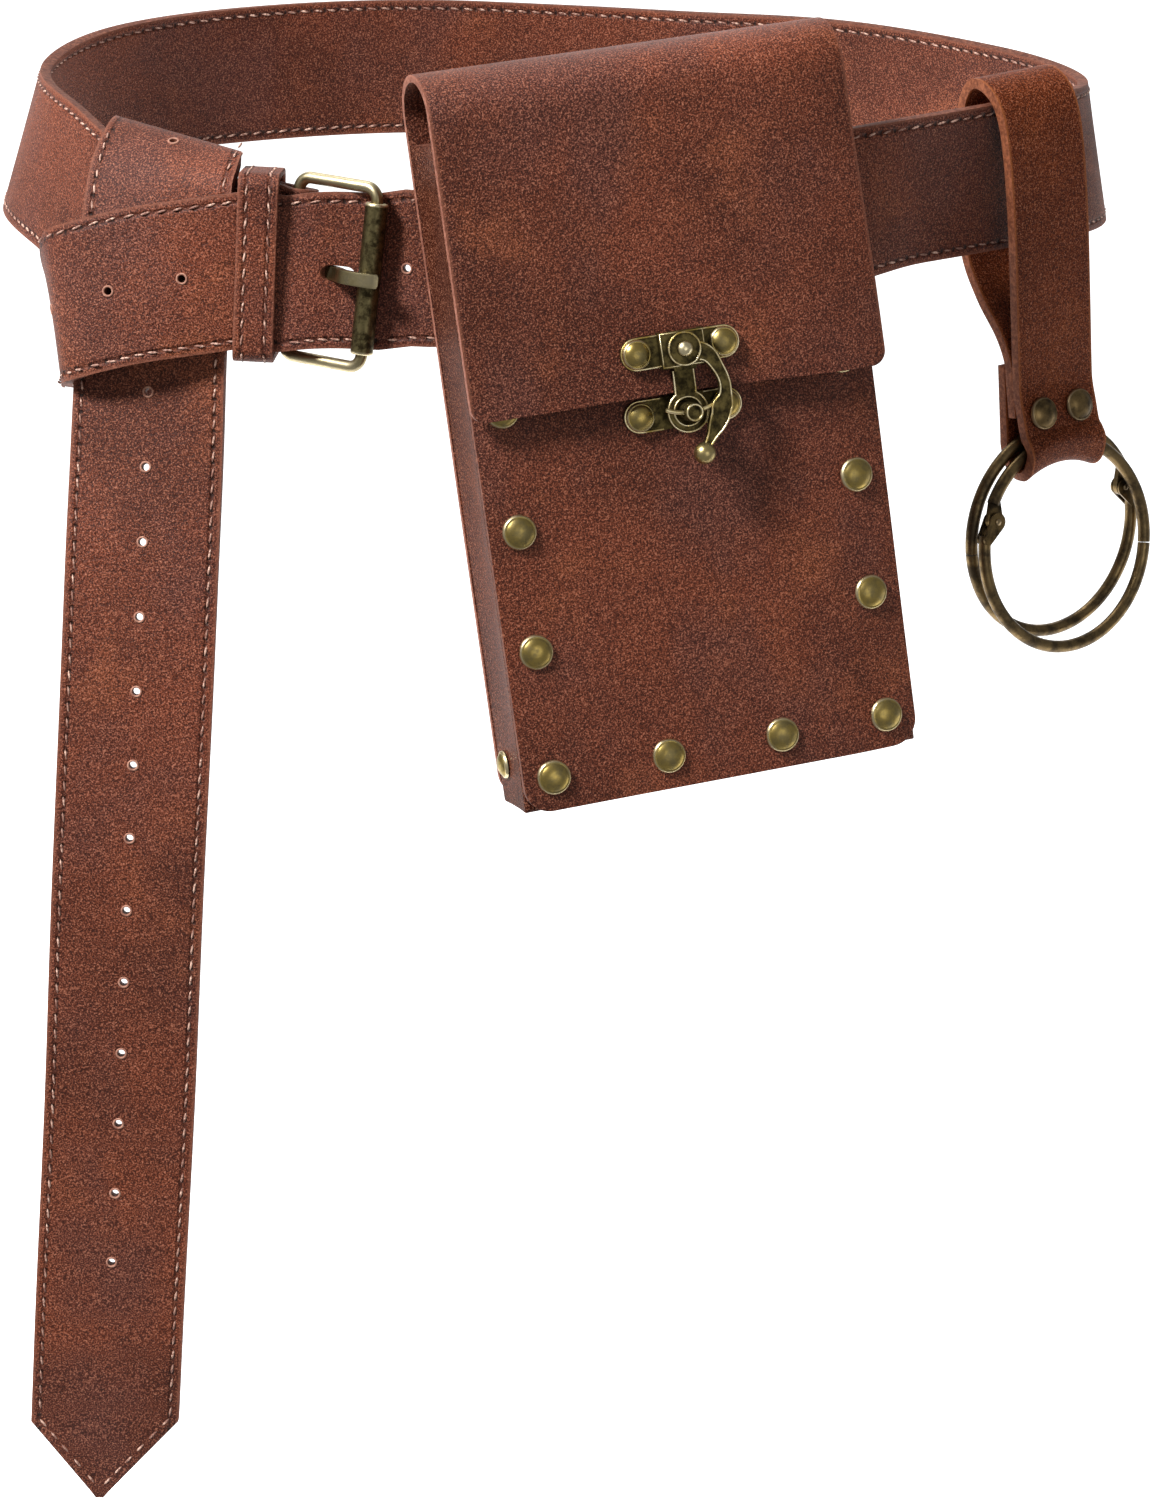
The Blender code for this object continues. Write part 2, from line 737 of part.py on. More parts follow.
def make_keeper():
    """A leather band closed round the buckle end and the tongue."""
    middle, half_out, half_up = keeper_box()
    roll = math.radians(KEEPER_ROLL)
    along = Vector((math.cos(roll), 0, -math.sin(roll)))
    lean = math.tan(math.radians(KEEPER_LEAN))
    up = Vector((math.sin(roll), lean, math.cos(roll))).normalized()
    out = Vector((0, -1, lean)).normalized()
    bm = bmesh.new()
    outer = 0.5 * KEEPER_THICK
    places = rounded_rectangle(half_out, half_up, 2 * KEEPER_THICK, 3)
    rings = []
    for side in (-0.5, 0.5):
        for grow in (outer, -outer):
            loop = []
            for p, normal in places:
                spot = middle + out * (p[0] + normal[0] * grow) + up * (p[1] + normal[1] * grow)
                loop.append(bm.verts.new(spot + along * side * KEEPER_WIDTH))
            rings.append(loop)
    for a, b in ((0, 1), (0, 2), (1, 3), (2, 3)):
        bridge(bm, rings[a], rings[b])
    bmesh.ops.recalc_face_normals(bm, faces=bm.faces)
    return add_object("belt_keeper", bm, LEATHER)


def bridge(bm, first, second):
    """Faces between two closed loops of points."""
    count = len(first)
    for i in range(count):
        j = (i + 1) % count
        bm.faces.new((first[i], first[j], second[j], second[i]))


def rounded_rectangle(half_a, half_b, corner, steps):
    """Points and outward directions round a rectangle with round corners."""
    found = []
    for quarter in range(4):
        sign_a = 1 if quarter in (0, 3) else -1
        sign_b = 1 if quarter in (0, 1) else -1
        centre = ((half_a - corner) * sign_a, (half_b - corner) * sign_b)
        for i in range(steps + 1):
            angle = 0.5 * math.pi * (quarter + i / steps)
            normal = (math.cos(angle), math.sin(angle))
            found.append(((centre[0] + corner * normal[0], centre[1] + corner * normal[1]), normal))
    return found


# Buckle


def buckle_matrix():
    """Heel bar at the origin, x towards the roller, y inwards through the frame, z up."""
    centre, along, out, up = heel_axis()
    spot, _, roller_out, _ = belt_at(belt_length() - 0.96 * BUCKLE_SPAN)
    roller = spot + roller_out * (0.5 * BELT_THICK + 2.7 * LAYER_GAP + ROLLER_RADIUS)
    roll = math.radians(BUCKLE_ROLL)
    level = (roller - centre - up * (roller - centre).dot(up)).normalized()
    x = level * math.cos(roll) - up * math.sin(roll)
    upright = (up * math.cos(roll) + level * math.sin(roll)).normalized()
    y = upright.cross(x).normalized()
    return place_matrix(centre - up * BUCKLE_DROP, x, y, upright)


def buckle_half_height():
    return 0.5 * BELT_WIDTH + BUCKLE_SIDE_ROOM + BUCKLE_WIRE


def make_buckle_frame():
    curve = bpy.data.curves.new("buckle_frame", "CURVE")
    curve.dimensions = "3D"
    curve.bevel_depth = BUCKLE_WIRE
    curve.bevel_resolution = 2
    spline = curve.splines.new("POLY")
    places = rounded_rectangle(0.5 * BUCKLE_SPAN, buckle_half_height(), BUCKLE_CORNER, 4)
    spline.points.add(len(places) - 1)
    for point, (p, _) in zip(spline.points, places):
        point.co = (p[0] + 0.5 * BUCKLE_SPAN, 0, p[1], 1)
    spline.use_cyclic_u = True
    curve.materials.append(make_material("buckle_frame", BRASS, 0.35, 1.0))
    frame = bpy.data.objects.new("buckle_frame", curve)
    bpy.context.scene.collection.objects.link(frame)
    frame.matrix_world = buckle_matrix()
    return frame


def add_tube(bm, matrix, outer, inner, length, sides):
    """A tube with open ends, closed by ring faces, along the matrix's z."""
    loops = []
    for z in (-0.5 * length, 0.5 * length):
        for radius in (outer, inner):
            loop = []
            for i in range(sides):
                angle = 2 * math.pi * i / sides
                spot = Vector((radius * math.cos(angle), radius * math.sin(angle), z))
                loop.append(bm.verts.new(matrix @ spot))
            loops.append(loop)
    for a, b in ((0, 1), (0, 2), (1, 3), (2, 3)):
        bridge(bm, loops[a], loops[b])
    bmesh.ops.recalc_face_normals(bm, faces=bm.faces)


def make_roller():
    bm = bmesh.new()
    length = 2 * (buckle_half_height() - BUCKLE_CORNER) - 2 * PIECE_GAP
    add_tube(bm, Matrix.Identity(4), ROLLER_RADIUS, ROLLER_BORE, length, 14)
    roller = add_object("buckle_roller", bm, ANTIQUE_BRASS)
    roller.matrix_world = buckle_matrix() @ Matrix.Translation((BUCKLE_SPAN, 0, 0))
    return roller


def make_prong():
    """An eye round the heel bar and a bar that comes through the tongue and rests on the roller."""
    eye_inner = BUCKLE_WIRE + 1.4 * PIECE_GAP
    eye_outer = eye_inner + 0.7 * MM
    top = ROLLER_RADIUS + 1.5 * PIECE_GAP + 0.5 * PRONG_THICK
    # share of the span, shift outwards
    rows = (
        (0.5 * (eye_inner + eye_outer) / BUCKLE_SPAN, 0.0),
        (0.30, 0.0),
        (0.50, 0.04 * top),
        (0.63, 0.36 * top),
        (0.75, 0.86 * top),
        (0.86, 1.04 * top),
        (1.00, 1.02 * top),
        (1.12, 0.84 * top),
        (1.18, 0.62 * top),
    )
    centres, across, halves = [], [], []
    steps = 2
    for i in range(steps * (len(rows) - 1) + 1):
        share, out = smooth(rows, i / steps)
        centres.append(Vector((share * BUCKLE_SPAN, -out, 0)))
        across.append(Vector((0, 0, 1)))
        halves.append(0.5 * PRONG_WIDTH)
    halves[-1] = 0.3 * PRONG_WIDTH
    sections = strip_sections(centres, across, halves)
    prong = add_leather("buckle_prong", sections, PRONG_THICK, ANTIQUE_BRASS, columns=2)
    prong.matrix_world = buckle_matrix()
    bm = bmesh.new()
    add_tube(bm, Matrix.Identity(4), eye_outer, eye_inner, PRONG_WIDTH, 12)
    bpy.context.view_layer.update()
    join_with(prong, bm)
    return prong


# Pouch


def panel_sections(top, bottom, width, corner, y):
    """A flat panel down to a bottom edge with round corners, in the pouch's frame."""
    steps = 5
    rows = [(bottom + corner * (1 - math.sin(0.5 * math.pi * i / steps)), i) for i in range(steps + 1)]
    centres = [Vector((0, y, top))]
    halves = [0.5 * width]
    for z, i in rows:
        inset = corner * (1 - math.cos(0.5 * math.pi * i / steps))
        centres.append(Vector((0, y, z)))
        halves.append(0.5 * width - inset)
    across = [Vector((1, 0, 0))] * len(centres)
    return strip_sections(centres, across, halves)


def front_panel_y():
    return 0.5 * POUCH_THICK


def back_panel_y():
    return POUCH_DEPTH - 0.5 * POUCH_THICK


def edge_rivet_places():
    """Rivets down both sides of the front and along its bottom."""
    side = 0.5 * POUCH_WIDTH - RIVET_INSET
    places = [(x, -share * POUCH_HEIGHT) for share in SIDE_RIVET_ROWS for x in (-side, side)]
    low = -SIDE_RIVET_ROWS[0] * POUCH_HEIGHT
    return places + [(share * POUCH_WIDTH, low) for share in BOTTOM_RIVET_ROW]


def back_rivet_places():
    low = -SIDE_RIVET_ROWS[0] * POUCH_HEIGHT
    side = 0.5 * POUCH_WIDTH - RIVET_INSET
    heights = (low, 0.5 * (low - RIVET_INSET), -RIVET_INSET - MOUTH_DROP)
    return [(x, z) for z in heights for x in (-side, side)]


def drill(obj, places, y, radius=None):
    """Holes along the pouch's depth through the leather near y."""
    bm = bmesh.new()
    for x, z in places:
        matrix = Matrix.Translation((x, y, z)) @ Matrix.Rotation(0.5 * math.pi, 4, "X")
        add_rod(bm, matrix, radius or RIVET_HOLE, 4 * POUCH_THICK, 8)
    cut_with(obj, bm)


def make_front_panel(pouch):
    sections = panel_sections(0, -POUCH_HEIGHT, POUCH_WIDTH, POUCH_CORNER, front_panel_y())
    panel = add_leather("pouch_front", sections, POUCH_THICK, LEATHER, pouch, columns=1)
    drill(panel, edge_rivet_places() + lower_plate_rivets(), front_panel_y())
    return panel


def gusset_span():
    """Front and back faces of the gusset, in the pouch's depth."""
    return POUCH_THICK + PIECE_GAP, POUCH_DEPTH - POUCH_THICK - PIECE_GAP


def add_block(bm, low, high):
    centre = (Vector(low) + Vector(high)) / 2
    size = Vector(high) - Vector(low)
    matrix = Matrix.Translation(centre) @ Matrix.Diagonal((size.x, size.y, size.z, 1.0))
    bmesh.ops.create_cube(bm, size=1.0, matrix=matrix)


def make_gusset(pouch):
    """Side walls, bottom and the flanges that the panels are riveted to, open at the mouth."""
    front, back = gusset_span()
    half = 0.5 * POUCH_WIDTH
    bm = bmesh.new()
    add_block(bm, (-half, front, -POUCH_HEIGHT), (half, back, -MOUTH_DROP))
    gusset = add_object("pouch_gusset", bm, LEATHER, pouch)
    t = POUCH_THICK
    over = 4 * t
    bm = bmesh.new()
    add_block(bm, (t - half, front + t, t - POUCH_HEIGHT), (half - t, back - t, over))
    cut_with(gusset, bm)
    bm = bmesh.new()
    edge = half - FLANGE_WIDTH
    add_block(bm, (-edge, front - over, FLANGE_WIDTH - POUCH_HEIGHT), (edge, back + over, over))
    cut_with(gusset, bm)
    drill(gusset, edge_rivet_places(), front + 0.5 * t)
    drill(gusset, back_rivet_places(), back - 0.5 * t)
    bm = bmesh.new()
    for side, y, z in side_rivet_places():
        matrix = Matrix.Translation((side * half, y, z)) @ Matrix.Rotation(0.5 * math.pi, 4, "Y")
        add_rod(bm, matrix, RIVET_HOLE, 4 * t, 8)
    cut_with(gusset, bm)
    return gusset


def side_rivet_places():
    """One rivet low on each side wall, near the back."""
    return [(side, 0.68 * POUCH_DEPTH, -0.94 * POUCH_HEIGHT) for side in (-1, 1)]


def flap_mid_y():
    return -FLAP_STAND_OFF - 0.5 * POUCH_THICK


def flap_path():
    """The middle line of the back panel, the arch over the mouth and the flap, as (y, z, width)."""
    back = back_panel_y()
    front = flap_mid_y()
    middle = 0.5 * (back + front)
    radius = 0.5 * (back - front)
    rise = FLAP_RISE - 0.5 * POUCH_THICK
    start = -0.35 * FLAP_RISE
    path = []
    steps = 5
    for i in range(steps + 1):
        angle = 0.5 * math.pi * i / steps
        inset = POUCH_CORNER * (1 - math.sin(angle))
        path.append((back, -POUCH_HEIGHT + POUCH_CORNER * (1 - math.cos(angle)), POUCH_WIDTH - 2 * inset))
    arch = 12
    for i in range(arch + 1):
        angle = math.pi * i / arch
        y = middle + radius * math.cos(angle)
        z = start + (rise - start) * math.sin(angle) ** 0.75
        share = i / arch
        path.append((y, z, POUCH_WIDTH + (FLAP_WIDTH - POUCH_WIDTH) * share))
    for i in range(steps + 1):
        angle = 0.5 * math.pi * i / steps
        inset = FLAP_CORNER * (1 - math.cos(angle))
        path.append((front, -FLAP_DROP + FLAP_CORNER * (1 - math.sin(angle)), FLAP_WIDTH - 2 * inset))
    return path


def make_back_and_flap(pouch):
    path = flap_path()
    centres = [Vector((0, y, z)) for y, z, _ in path]
    across = [Vector((1, 0, 0))] * len(path)
    sections = strip_sections(centres, across, [0.5 * width for _, _, width in path])
    flap = add_leather("pouch_back_and_flap", sections, POUCH_THICK, LEATHER, pouch, columns=1)
    drill(flap, back_rivet_places() + loop_rivet_places(), back_panel_y())
    drill(flap, upper_plate_rivets() + [(CLASP_X, clasp_pivot_z())], flap_mid_y())
    return flap


def rivet_mesh(matrix, head, dome, grip, cap=RIVET_CAP):
    """A domed head, a shank through the grip and a flat cap behind, along the matrix's -y to +y."""
    bm = bmesh.new()
    gap = PIECE_GAP
    profile = [
        (0.0, -gap - dome),
        (0.72 * head, -gap - 0.7 * dome),
        (head, -gap),
        (RIVET_SHANK, -gap),
        (RIVET_SHANK, grip + gap),
        (cap, grip + gap),
        (0.0, grip + gap + 0.8 * MM),
    ]
    verts = [bm.verts.new((r, y, 0)) for r, y in profile]
    edges = [bm.edges.new(pair) for pair in zip(verts, verts[1:])]
    bmesh.ops.spin(
        bm, geom=verts + edges, cent=(0, 0, 0), axis=(0, 1, 0), angle=2 * math.pi, steps=8, use_merge=True
    )
    bmesh.ops.remove_doubles(bm, verts=bm.verts, dist=1e-6)
    bmesh.ops.recalc_face_normals(bm, faces=bm.faces)
    bmesh.ops.transform(bm, matrix=matrix, verts=bm.verts)
    return bm


def add_rivet(name, matrix, head, dome, grip, finish, parent, cap=RIVET_CAP):
    rivet = add_object(name, rivet_mesh(Matrix.Identity(4), head, dome, grip, cap), finish, parent)
    rivet.matrix_local = matrix
    return rivet


def make_pouch_rivets(pouch):
    front, back = gusset_span()
    grip = front + POUCH_THICK
    for k, (x, z) in enumerate(edge_rivet_places(), 1):
        matrix = Matrix.Translation((x, 0, z))
        add_rivet(f"front_rivet_{k}", matrix, RIVET_HEAD, RIVET_DOME, grip, ANTIQUE_BRASS, pouch)
    turned = Matrix.Rotation(math.pi, 4, "Z")
    for k, (x, z) in enumerate(back_rivet_places(), 1):
        matrix = Matrix.Translation((x, POUCH_DEPTH, z)) @ turned
        add_rivet(f"back_rivet_{k}", matrix, SMALL_RIVET_HEAD, RIVET_DOME, grip, ANTIQUE_BRASS, pouch)
    for side, y, z in side_rivet_places():
        matrix = Matrix.Translation((side * 0.5 * POUCH_WIDTH, y, z))
        matrix = matrix @ Matrix.Rotation(side * 0.5 * math.pi, 4, "Z")
        name = "side_rivet_right" if side > 0 else "side_rivet_left"
        add_rivet(name, matrix, SMALL_RIVET_HEAD, RIVET_DOME, POUCH_THICK, ANTIQUE_BRASS, pouch)


def loop_stand_off():
    """From the back panel to the middle of a loop's leather where it passes over the belt."""
    return BELT_OFF_POUCH + BELT_THICK + BACK_LOOP_ROOM + 0.5 * BACK_LOOP_THICK


def loop_rivet_places():
    high = loop_reach() + 0.58 * BACK_LOOP_TAB
    heights = (high - BELT_BELOW_MOUTH, -high - BELT_BELOW_MOUTH)
    return [(side * 0.5 * BACK_LOOP_APART, z) for side in (-1, 1) for z in heights]


def loop_reach():
    """Half the height of a loop's opening, from the belt's middle."""
    return 0.5 * BELT_WIDTH + 2 * BACK_LOOP_ROOM + BACK_LOOP_THICK


def make_back_loops(pouch):
    """Leather loops that carry the pouch on the belt."""
    tab = PIECE_GAP + 0.5 * BACK_LOOP_THICK
    out = loop_stand_off()
    reach = loop_reach()
    bend = out - tab
    half_path = (
        (tab, reach + BACK_LOOP_TAB),
        (tab, reach + 0.4 * MM),
        (0.5 * (tab + out), reach - 0.12 * bend),
        (out, reach - 0.6 * bend),
        (out, 0.4 * reach),
    )
    path = [(y, z) for y, z in half_path] + [(y, -z) for y, z in reversed(half_path)]
    for side, name in ((-1, "back_loop_left"), (1, "back_loop_right")):
        x = side * 0.5 * BACK_LOOP_APART
        centres = [Vector((x, POUCH_DEPTH + y, z - BELT_BELOW_MOUTH)) for y, z in path]
        across = [Vector((1, 0, 0))] * len(path)
        sections = strip_sections(centres, across, [0.5 * BACK_LOOP_WIDTH] * len(path))
        loop = add_leather(name, sections, BACK_LOOP_THICK, LEATHER, pouch, columns=1)
        places = [p for p in loop_rivet_places() if p[0] * side > 0]
        drill(loop, places, POUCH_DEPTH + tab)
    turned = Matrix.Rotation(math.pi, 4, "Z")
    surface = POUCH_DEPTH + PIECE_GAP + BACK_LOOP_THICK
    for k, (x, z) in enumerate(loop_rivet_places(), 1):
        matrix = Matrix.Translation((x, surface, z)) @ turned
        grip = PIECE_GAP + BACK_LOOP_THICK + POUCH_THICK
        head = LOOP_RIVET_HEAD
        add_rivet(f"loop_rivet_{k}", matrix, head, RIVET_DOME, grip, ANTIQUE_BRASS, pouch, 0.8 * RIVET_CAP)


# Clasp


def clasp_pivot_z():
    return -FLAP_DROP + CLASP_ABOVE_FLAP_EDGE


def clasp_post_z():
    return clasp_pivot_z() - CLASP_REACH


def flap_face_y():
    return flap_mid_y() - 0.5 * POUCH_THICK


def upper_plate_rivets():
    return [(CLASP_X + side * CLASP_RIVET_OFF, clasp_pivot_z()) for side in (-1, 1)]


def lower_plate_rivets():
    return [(CLASP_X + side * CLASP_RIVET_OFF, clasp_post_z()) for side in (-1, 1)]


def round_ended_plate(bm, half_length, end, y_low, y_high, centre):
    """A flat bar with round ends, in the pouch's x and z."""
    outline = []
    steps = 6
    for side in (1, -1):
        for i in range(steps + 1):
            angle = side * 0.5 * math.pi * (2 * i / steps - 1) * side + (0 if side > 0 else math.pi)
            spot = (side * half_length + end * math.cos(angle), end * math.sin(angle))
            outline.append(spot)
    verts = [bm.verts.new((centre[0] + x, y_low, centre[1] + z)) for x, z in outline]
    face = bm.faces.new(verts)
    drawn = bmesh.ops.extrude_face_region(bm, geom=[face])["geom"]
    moved = [item for item in drawn if isinstance(item, bmesh.types.BMVert)]
    bmesh.ops.translate(bm, verts=moved, vec=(0, y_high - y_low, 0))
    bmesh.ops.recalc_face_normals(bm, faces=bm.faces)


def plate_faces(y_leather):
    """Outer and inner faces of a plate that lies on leather."""
    inner = y_leather - PIECE_GAP
    return inner - CLASP_PLATE_THICK, inner


def bridge_top_y():
    return plate_faces(flap_face_y())[0] - CLASP_BRIDGE_RISE


def make_upper_plate(pouch):
    """A bar on the flap, raised in the middle under the lever, with a neck down to an eye."""
    outer, inner = plate_faces(flap_face_y())
    z = clasp_pivot_z()
    bm = bmesh.new()
    round_ended_plate(bm, CLASP_RIVET_OFF, CLASP_PLATE_END, outer, inner, (CLASP_X, z))
    plate = add_object("clasp_upper_plate", bm, ANTIQUE_BRASS, pouch)
    half = CLASP_BRIDGE_HALF
    end = CLASP_PLATE_END + 0.4 * MM
    bm = bmesh.new()
    low = (CLASP_X - half, bridge_top_y(), z - end)
    add_block(bm, low, (CLASP_X + half, inner - 0.1 * MM, z + end))
    join_with(plate, bm)
    bm = bmesh.new()
    neck_end = clasp_post_z() + 0.5 * (CLASP_EYE + CLASP_EYE_HOLE)
    low = (CLASP_X - CLASP_NECK_HALF, outer, neck_end)
    add_block(bm, low, (CLASP_X + CLASP_NECK_HALF, inner - 0.05 * MM, z - 0.5 * end))
    join_with(plate, bm)
    bm = bmesh.new()
    middle = 0.5 * (outer + inner)
    matrix = Matrix.Translation((CLASP_X, middle, clasp_post_z())) @ Matrix.Rotation(0.5 * math.pi, 4, "X")
    add_tube(bm, matrix, CLASP_EYE, CLASP_EYE_HOLE, CLASP_PLATE_THICK - 0.02 * MM, 16)
    join_with(plate, bm)
    bm = bmesh.new()
    t = CLASP_PLATE_THICK
    low = (CLASP_X - half + t, bridge_top_y() + t, z - end - 0.1 * t)
    add_block(bm, low, (CLASP_X + half - t, inner + t, z + 2 * end))
    cut_with(plate, bm)
    bm = bmesh.new()
    low = (CLASP_X - CLASP_NECK_HALF, bridge_top_y(), z - end - t)
    add_block(bm, low, (CLASP_X + CLASP_NECK_HALF, inner - 0.05 * MM, z - end + t))
    join_with(plate, bm)
    drill(plate, upper_plate_rivets(), 0.5 * (outer + inner))
    drill(plate, [(CLASP_X, z)], bridge_top_y(), PIVOT_RADIUS + PIVOT_ROOM)
    return plate


def make_lower_plate(pouch):
    """A bar on the front panel that carries the post with its cross hole."""
    outer, inner = plate_faces(0.0)
    z = clasp_post_z()
    bm = bmesh.new()
    round_ended_plate(bm, CLASP_RIVET_OFF, CLASP_PLATE_END, outer, inner, (CLASP_X, z))
    plate = add_object("clasp_lower_plate", bm, ANTIQUE_BRASS, pouch)
    top = lever_mid_y() - POST_RISE
    length = inner - 0.1 * MM - top
    bm = bmesh.new()
    turn = Matrix.Rotation(0.5 * math.pi, 4, "X")
    add_rod(bm, Matrix.Translation((CLASP_X, top + 0.5 * length, z)) @ turn, POST_RADIUS, length, 12)
    join_with(plate, bm)
    bm = bmesh.new()
    across = Matrix.Translation((CLASP_X, lever_mid_y(), z)) @ Matrix.Rotation(0.5 * math.pi, 4, "Y")
    add_rod(bm, across, SPUR_RADIUS + SPUR_ROOM, 3 * POST_RADIUS, 8)
    cut_with(plate, bm)
    drill(plate, lower_plate_rivets(), 0.5 * (outer + inner))
    return plate


def lever_mid_y():
    return bridge_top_y() - PIECE_GAP - 0.5 * LEVER_THICK


def make_lever(pouch):
    """The hooked lever with its spur and ball, modelled about its pivot."""
    place = Matrix.Translation((CLASP_X, lever_mid_y(), clasp_pivot_z()))
    pivot = add_empty("clasp_lever_pivot", place, pouch)
    centres, across, halves = [], [], []
    steps = 3
    last = len(LEVER_ROWS) - 1
    for i in range(steps * last + 1):
        x, z, width = smooth(LEVER_ROWS, i / steps)
        ahead = Vector(smooth(LEVER_ROWS, min(i / steps + 0.1, last))[:2])
        behind = Vector(smooth(LEVER_ROWS, max(i / steps - 0.1, 0))[:2])
        way = (ahead - behind).normalized()
        centres.append(Vector((x, 0, z)) * CLASP_REACH)
        across.append(Vector((-way.y, 0, way.x)))
        halves.append(0.5 * width * CLASP_REACH)
    sections = strip_sections(centres, across, halves)
    lever = add_leather("clasp_lever", sections, LEVER_THICK, ANTIQUE_BRASS, pivot, columns=1)
    bpy.context.view_layer.update()
    turn = Matrix.Rotation(0.5 * math.pi, 4, "X")
    bm = bmesh.new()
    add_rod(bm, turn, LEVER_HEAD, LEVER_THICK + 0.04 * MM, 16)
    join_with(lever, bm)
    bm = bmesh.new()
    ball = Vector((LEVER_BALL_AT[0], 0, LEVER_BALL_AT[1])) * CLASP_REACH
    bmesh.ops.create_uvsphere(
        bm, u_segments=10, v_segments=7, radius=LEVER_BALL, matrix=Matrix.Translation(ball)
    )
    join_with(lever, bm)
    join_with(lever, spur_mesh())
    bm = bmesh.new()
    add_rod(bm, turn, PIVOT_RADIUS + PIVOT_ROOM, 4 * LEVER_THICK, 10)
    cut_with(lever, bm)
    return lever


def spur_mesh():
    """A thin rod bent on a circle about the pivot, from the arm through the post's cross hole."""
    bm = bmesh.new()
    start, end = 29.0, -25.0
    arc = [math.radians(start + (end - start) * i / 9) for i in range(10)]
    sides = 8
    loops = []
    for angle in arc:
        middle = Vector((math.sin(angle), 0, -math.cos(angle)))
        loop = []
        for k in range(sides):
            turn = 2 * math.pi * k / sides
            spot = middle * (CLASP_REACH + SPUR_RADIUS * math.cos(turn))
            spot = spot + Vector((0, SPUR_RADIUS * math.sin(turn), 0))
            loop.append(bm.verts.new(spot))
        loops.append(loop)
    for a, b in zip(loops, loops[1:]):
        bridge(bm, a, b)
    bm.faces.new(loops[0])
    bm.faces.new(loops[-1])
    bmesh.ops.recalc_face_normals(bm, faces=bm.faces)
    return bm


def make_pivot(pouch):
    """The stud that the lever turns on, riveted through the raised plate."""
    bm = bmesh.new()
    front = lever_mid_y() - 0.5 * LEVER_THICK
    back = bridge_top_y() + CLASP_PLATE_THICK
    gap = PIECE_GAP
    profile = [
        (0.0, front - gap - 1.5 * MM),
        (0.6 * PIVOT_HEAD, front - gap - 1.25 * MM),
        (PIVOT_HEAD, front - gap - 0.4 * MM),
        (PIVOT_HEAD, front - gap),
        (PIVOT_RADIUS, front - gap),
        (PIVOT_RADIUS, back + gap),
        (PIVOT_HEAD, back + gap),
        (0.0, back + gap + 0.6 * MM),
    ]
    verts = [bm.verts.new((r, y, 0)) for r, y in profile]
    edges = [bm.edges.new(pair) for pair in zip(verts, verts[1:])]
    bmesh.ops.spin(
        bm, geom=verts + edges, cent=(0, 0, 0), axis=(0, 1, 0), angle=2 * math.pi, steps=12, use_merge=True
    )
    bmesh.ops.remove_doubles(bm, verts=bm.verts, dist=1e-6)
    bmesh.ops.recalc_face_normals(bm, faces=bm.faces)
    pivot = add_object("clasp_pivot", bm, ANTIQUE_BRASS, pouch)
    pivot.location = (CLASP_X, 0, clasp_pivot_z())
    return pivot


def make_clasp_rivets(pouch):
    upper = plate_faces(flap_face_y())[0]
    grip = flap_face_y() - upper + POUCH_THICK
    for k, (x, z) in enumerate(upper_plate_rivets(), 1):
        matrix = Matrix.Translation((x, upper, z))
        name = f"clasp_upper_rivet_{k}"
        add_rivet(name, matrix, 0.84 * RIVET_HEAD, RIVET_DOME, grip, ANTIQUE_BRASS, pouch, 0.8 * RIVET_CAP)
    lower = plate_faces(0.0)[0]
    grip = POUCH_THICK - lower
    for k, (x, z) in enumerate(lower_plate_rivets(), 1):
        matrix = Matrix.Translation((x, lower, z))
        name = f"clasp_lower_rivet_{k}"
        add_rivet(name, matrix, 0.84 * RIVET_HEAD, RIVET_DOME, grip, ANTIQUE_BRASS, pouch, 0.8 * RIVET_CAP)


# Ring hanger


def hanger_matrix():
    """Origin on the belt's middle line, x along the strap's width, y inwards, z up its length."""
    centre = belt_centre(HANGER_BEARING)
    turn = Matrix.Rotation(math.radians(HANGER_TURN), 4, "Z")
    lean = Matrix.Rotation(-math.radians(HANGER_LEAN), 4, "Y")
    return Matrix.Translation(centre) @ turn @ lean @ Matrix.Translation((HANGER_SHIFT, 0, 0))


def hanger_point(out, down):
    return Vector((0, -out * HANGER_FRONT, -down * HANGER_DROP))


def hanger_rivet_face():
    """How far in front of the belt's middle line the strap's face lies under the rivets."""
    return 1.11 * HANGER_FRONT + 0.58 * HANGER_THICK


def hanger_rivet_places():
    """Where the rivets' heads sit on the strap's front, which slopes outwards to the fold."""
    tilt = Matrix.Rotation(math.radians(HANGER_RIVET_TILT), 4, "X")
    z = HANGER_RIVET_UP - HANGER_DROP
    spots = [Vector((side * HANGER_RIVET_OFF, -hanger_rivet_face(), z)) for side in (-1, 1)]
    return [Matrix.Translation(spot) @ tilt for spot in spots]


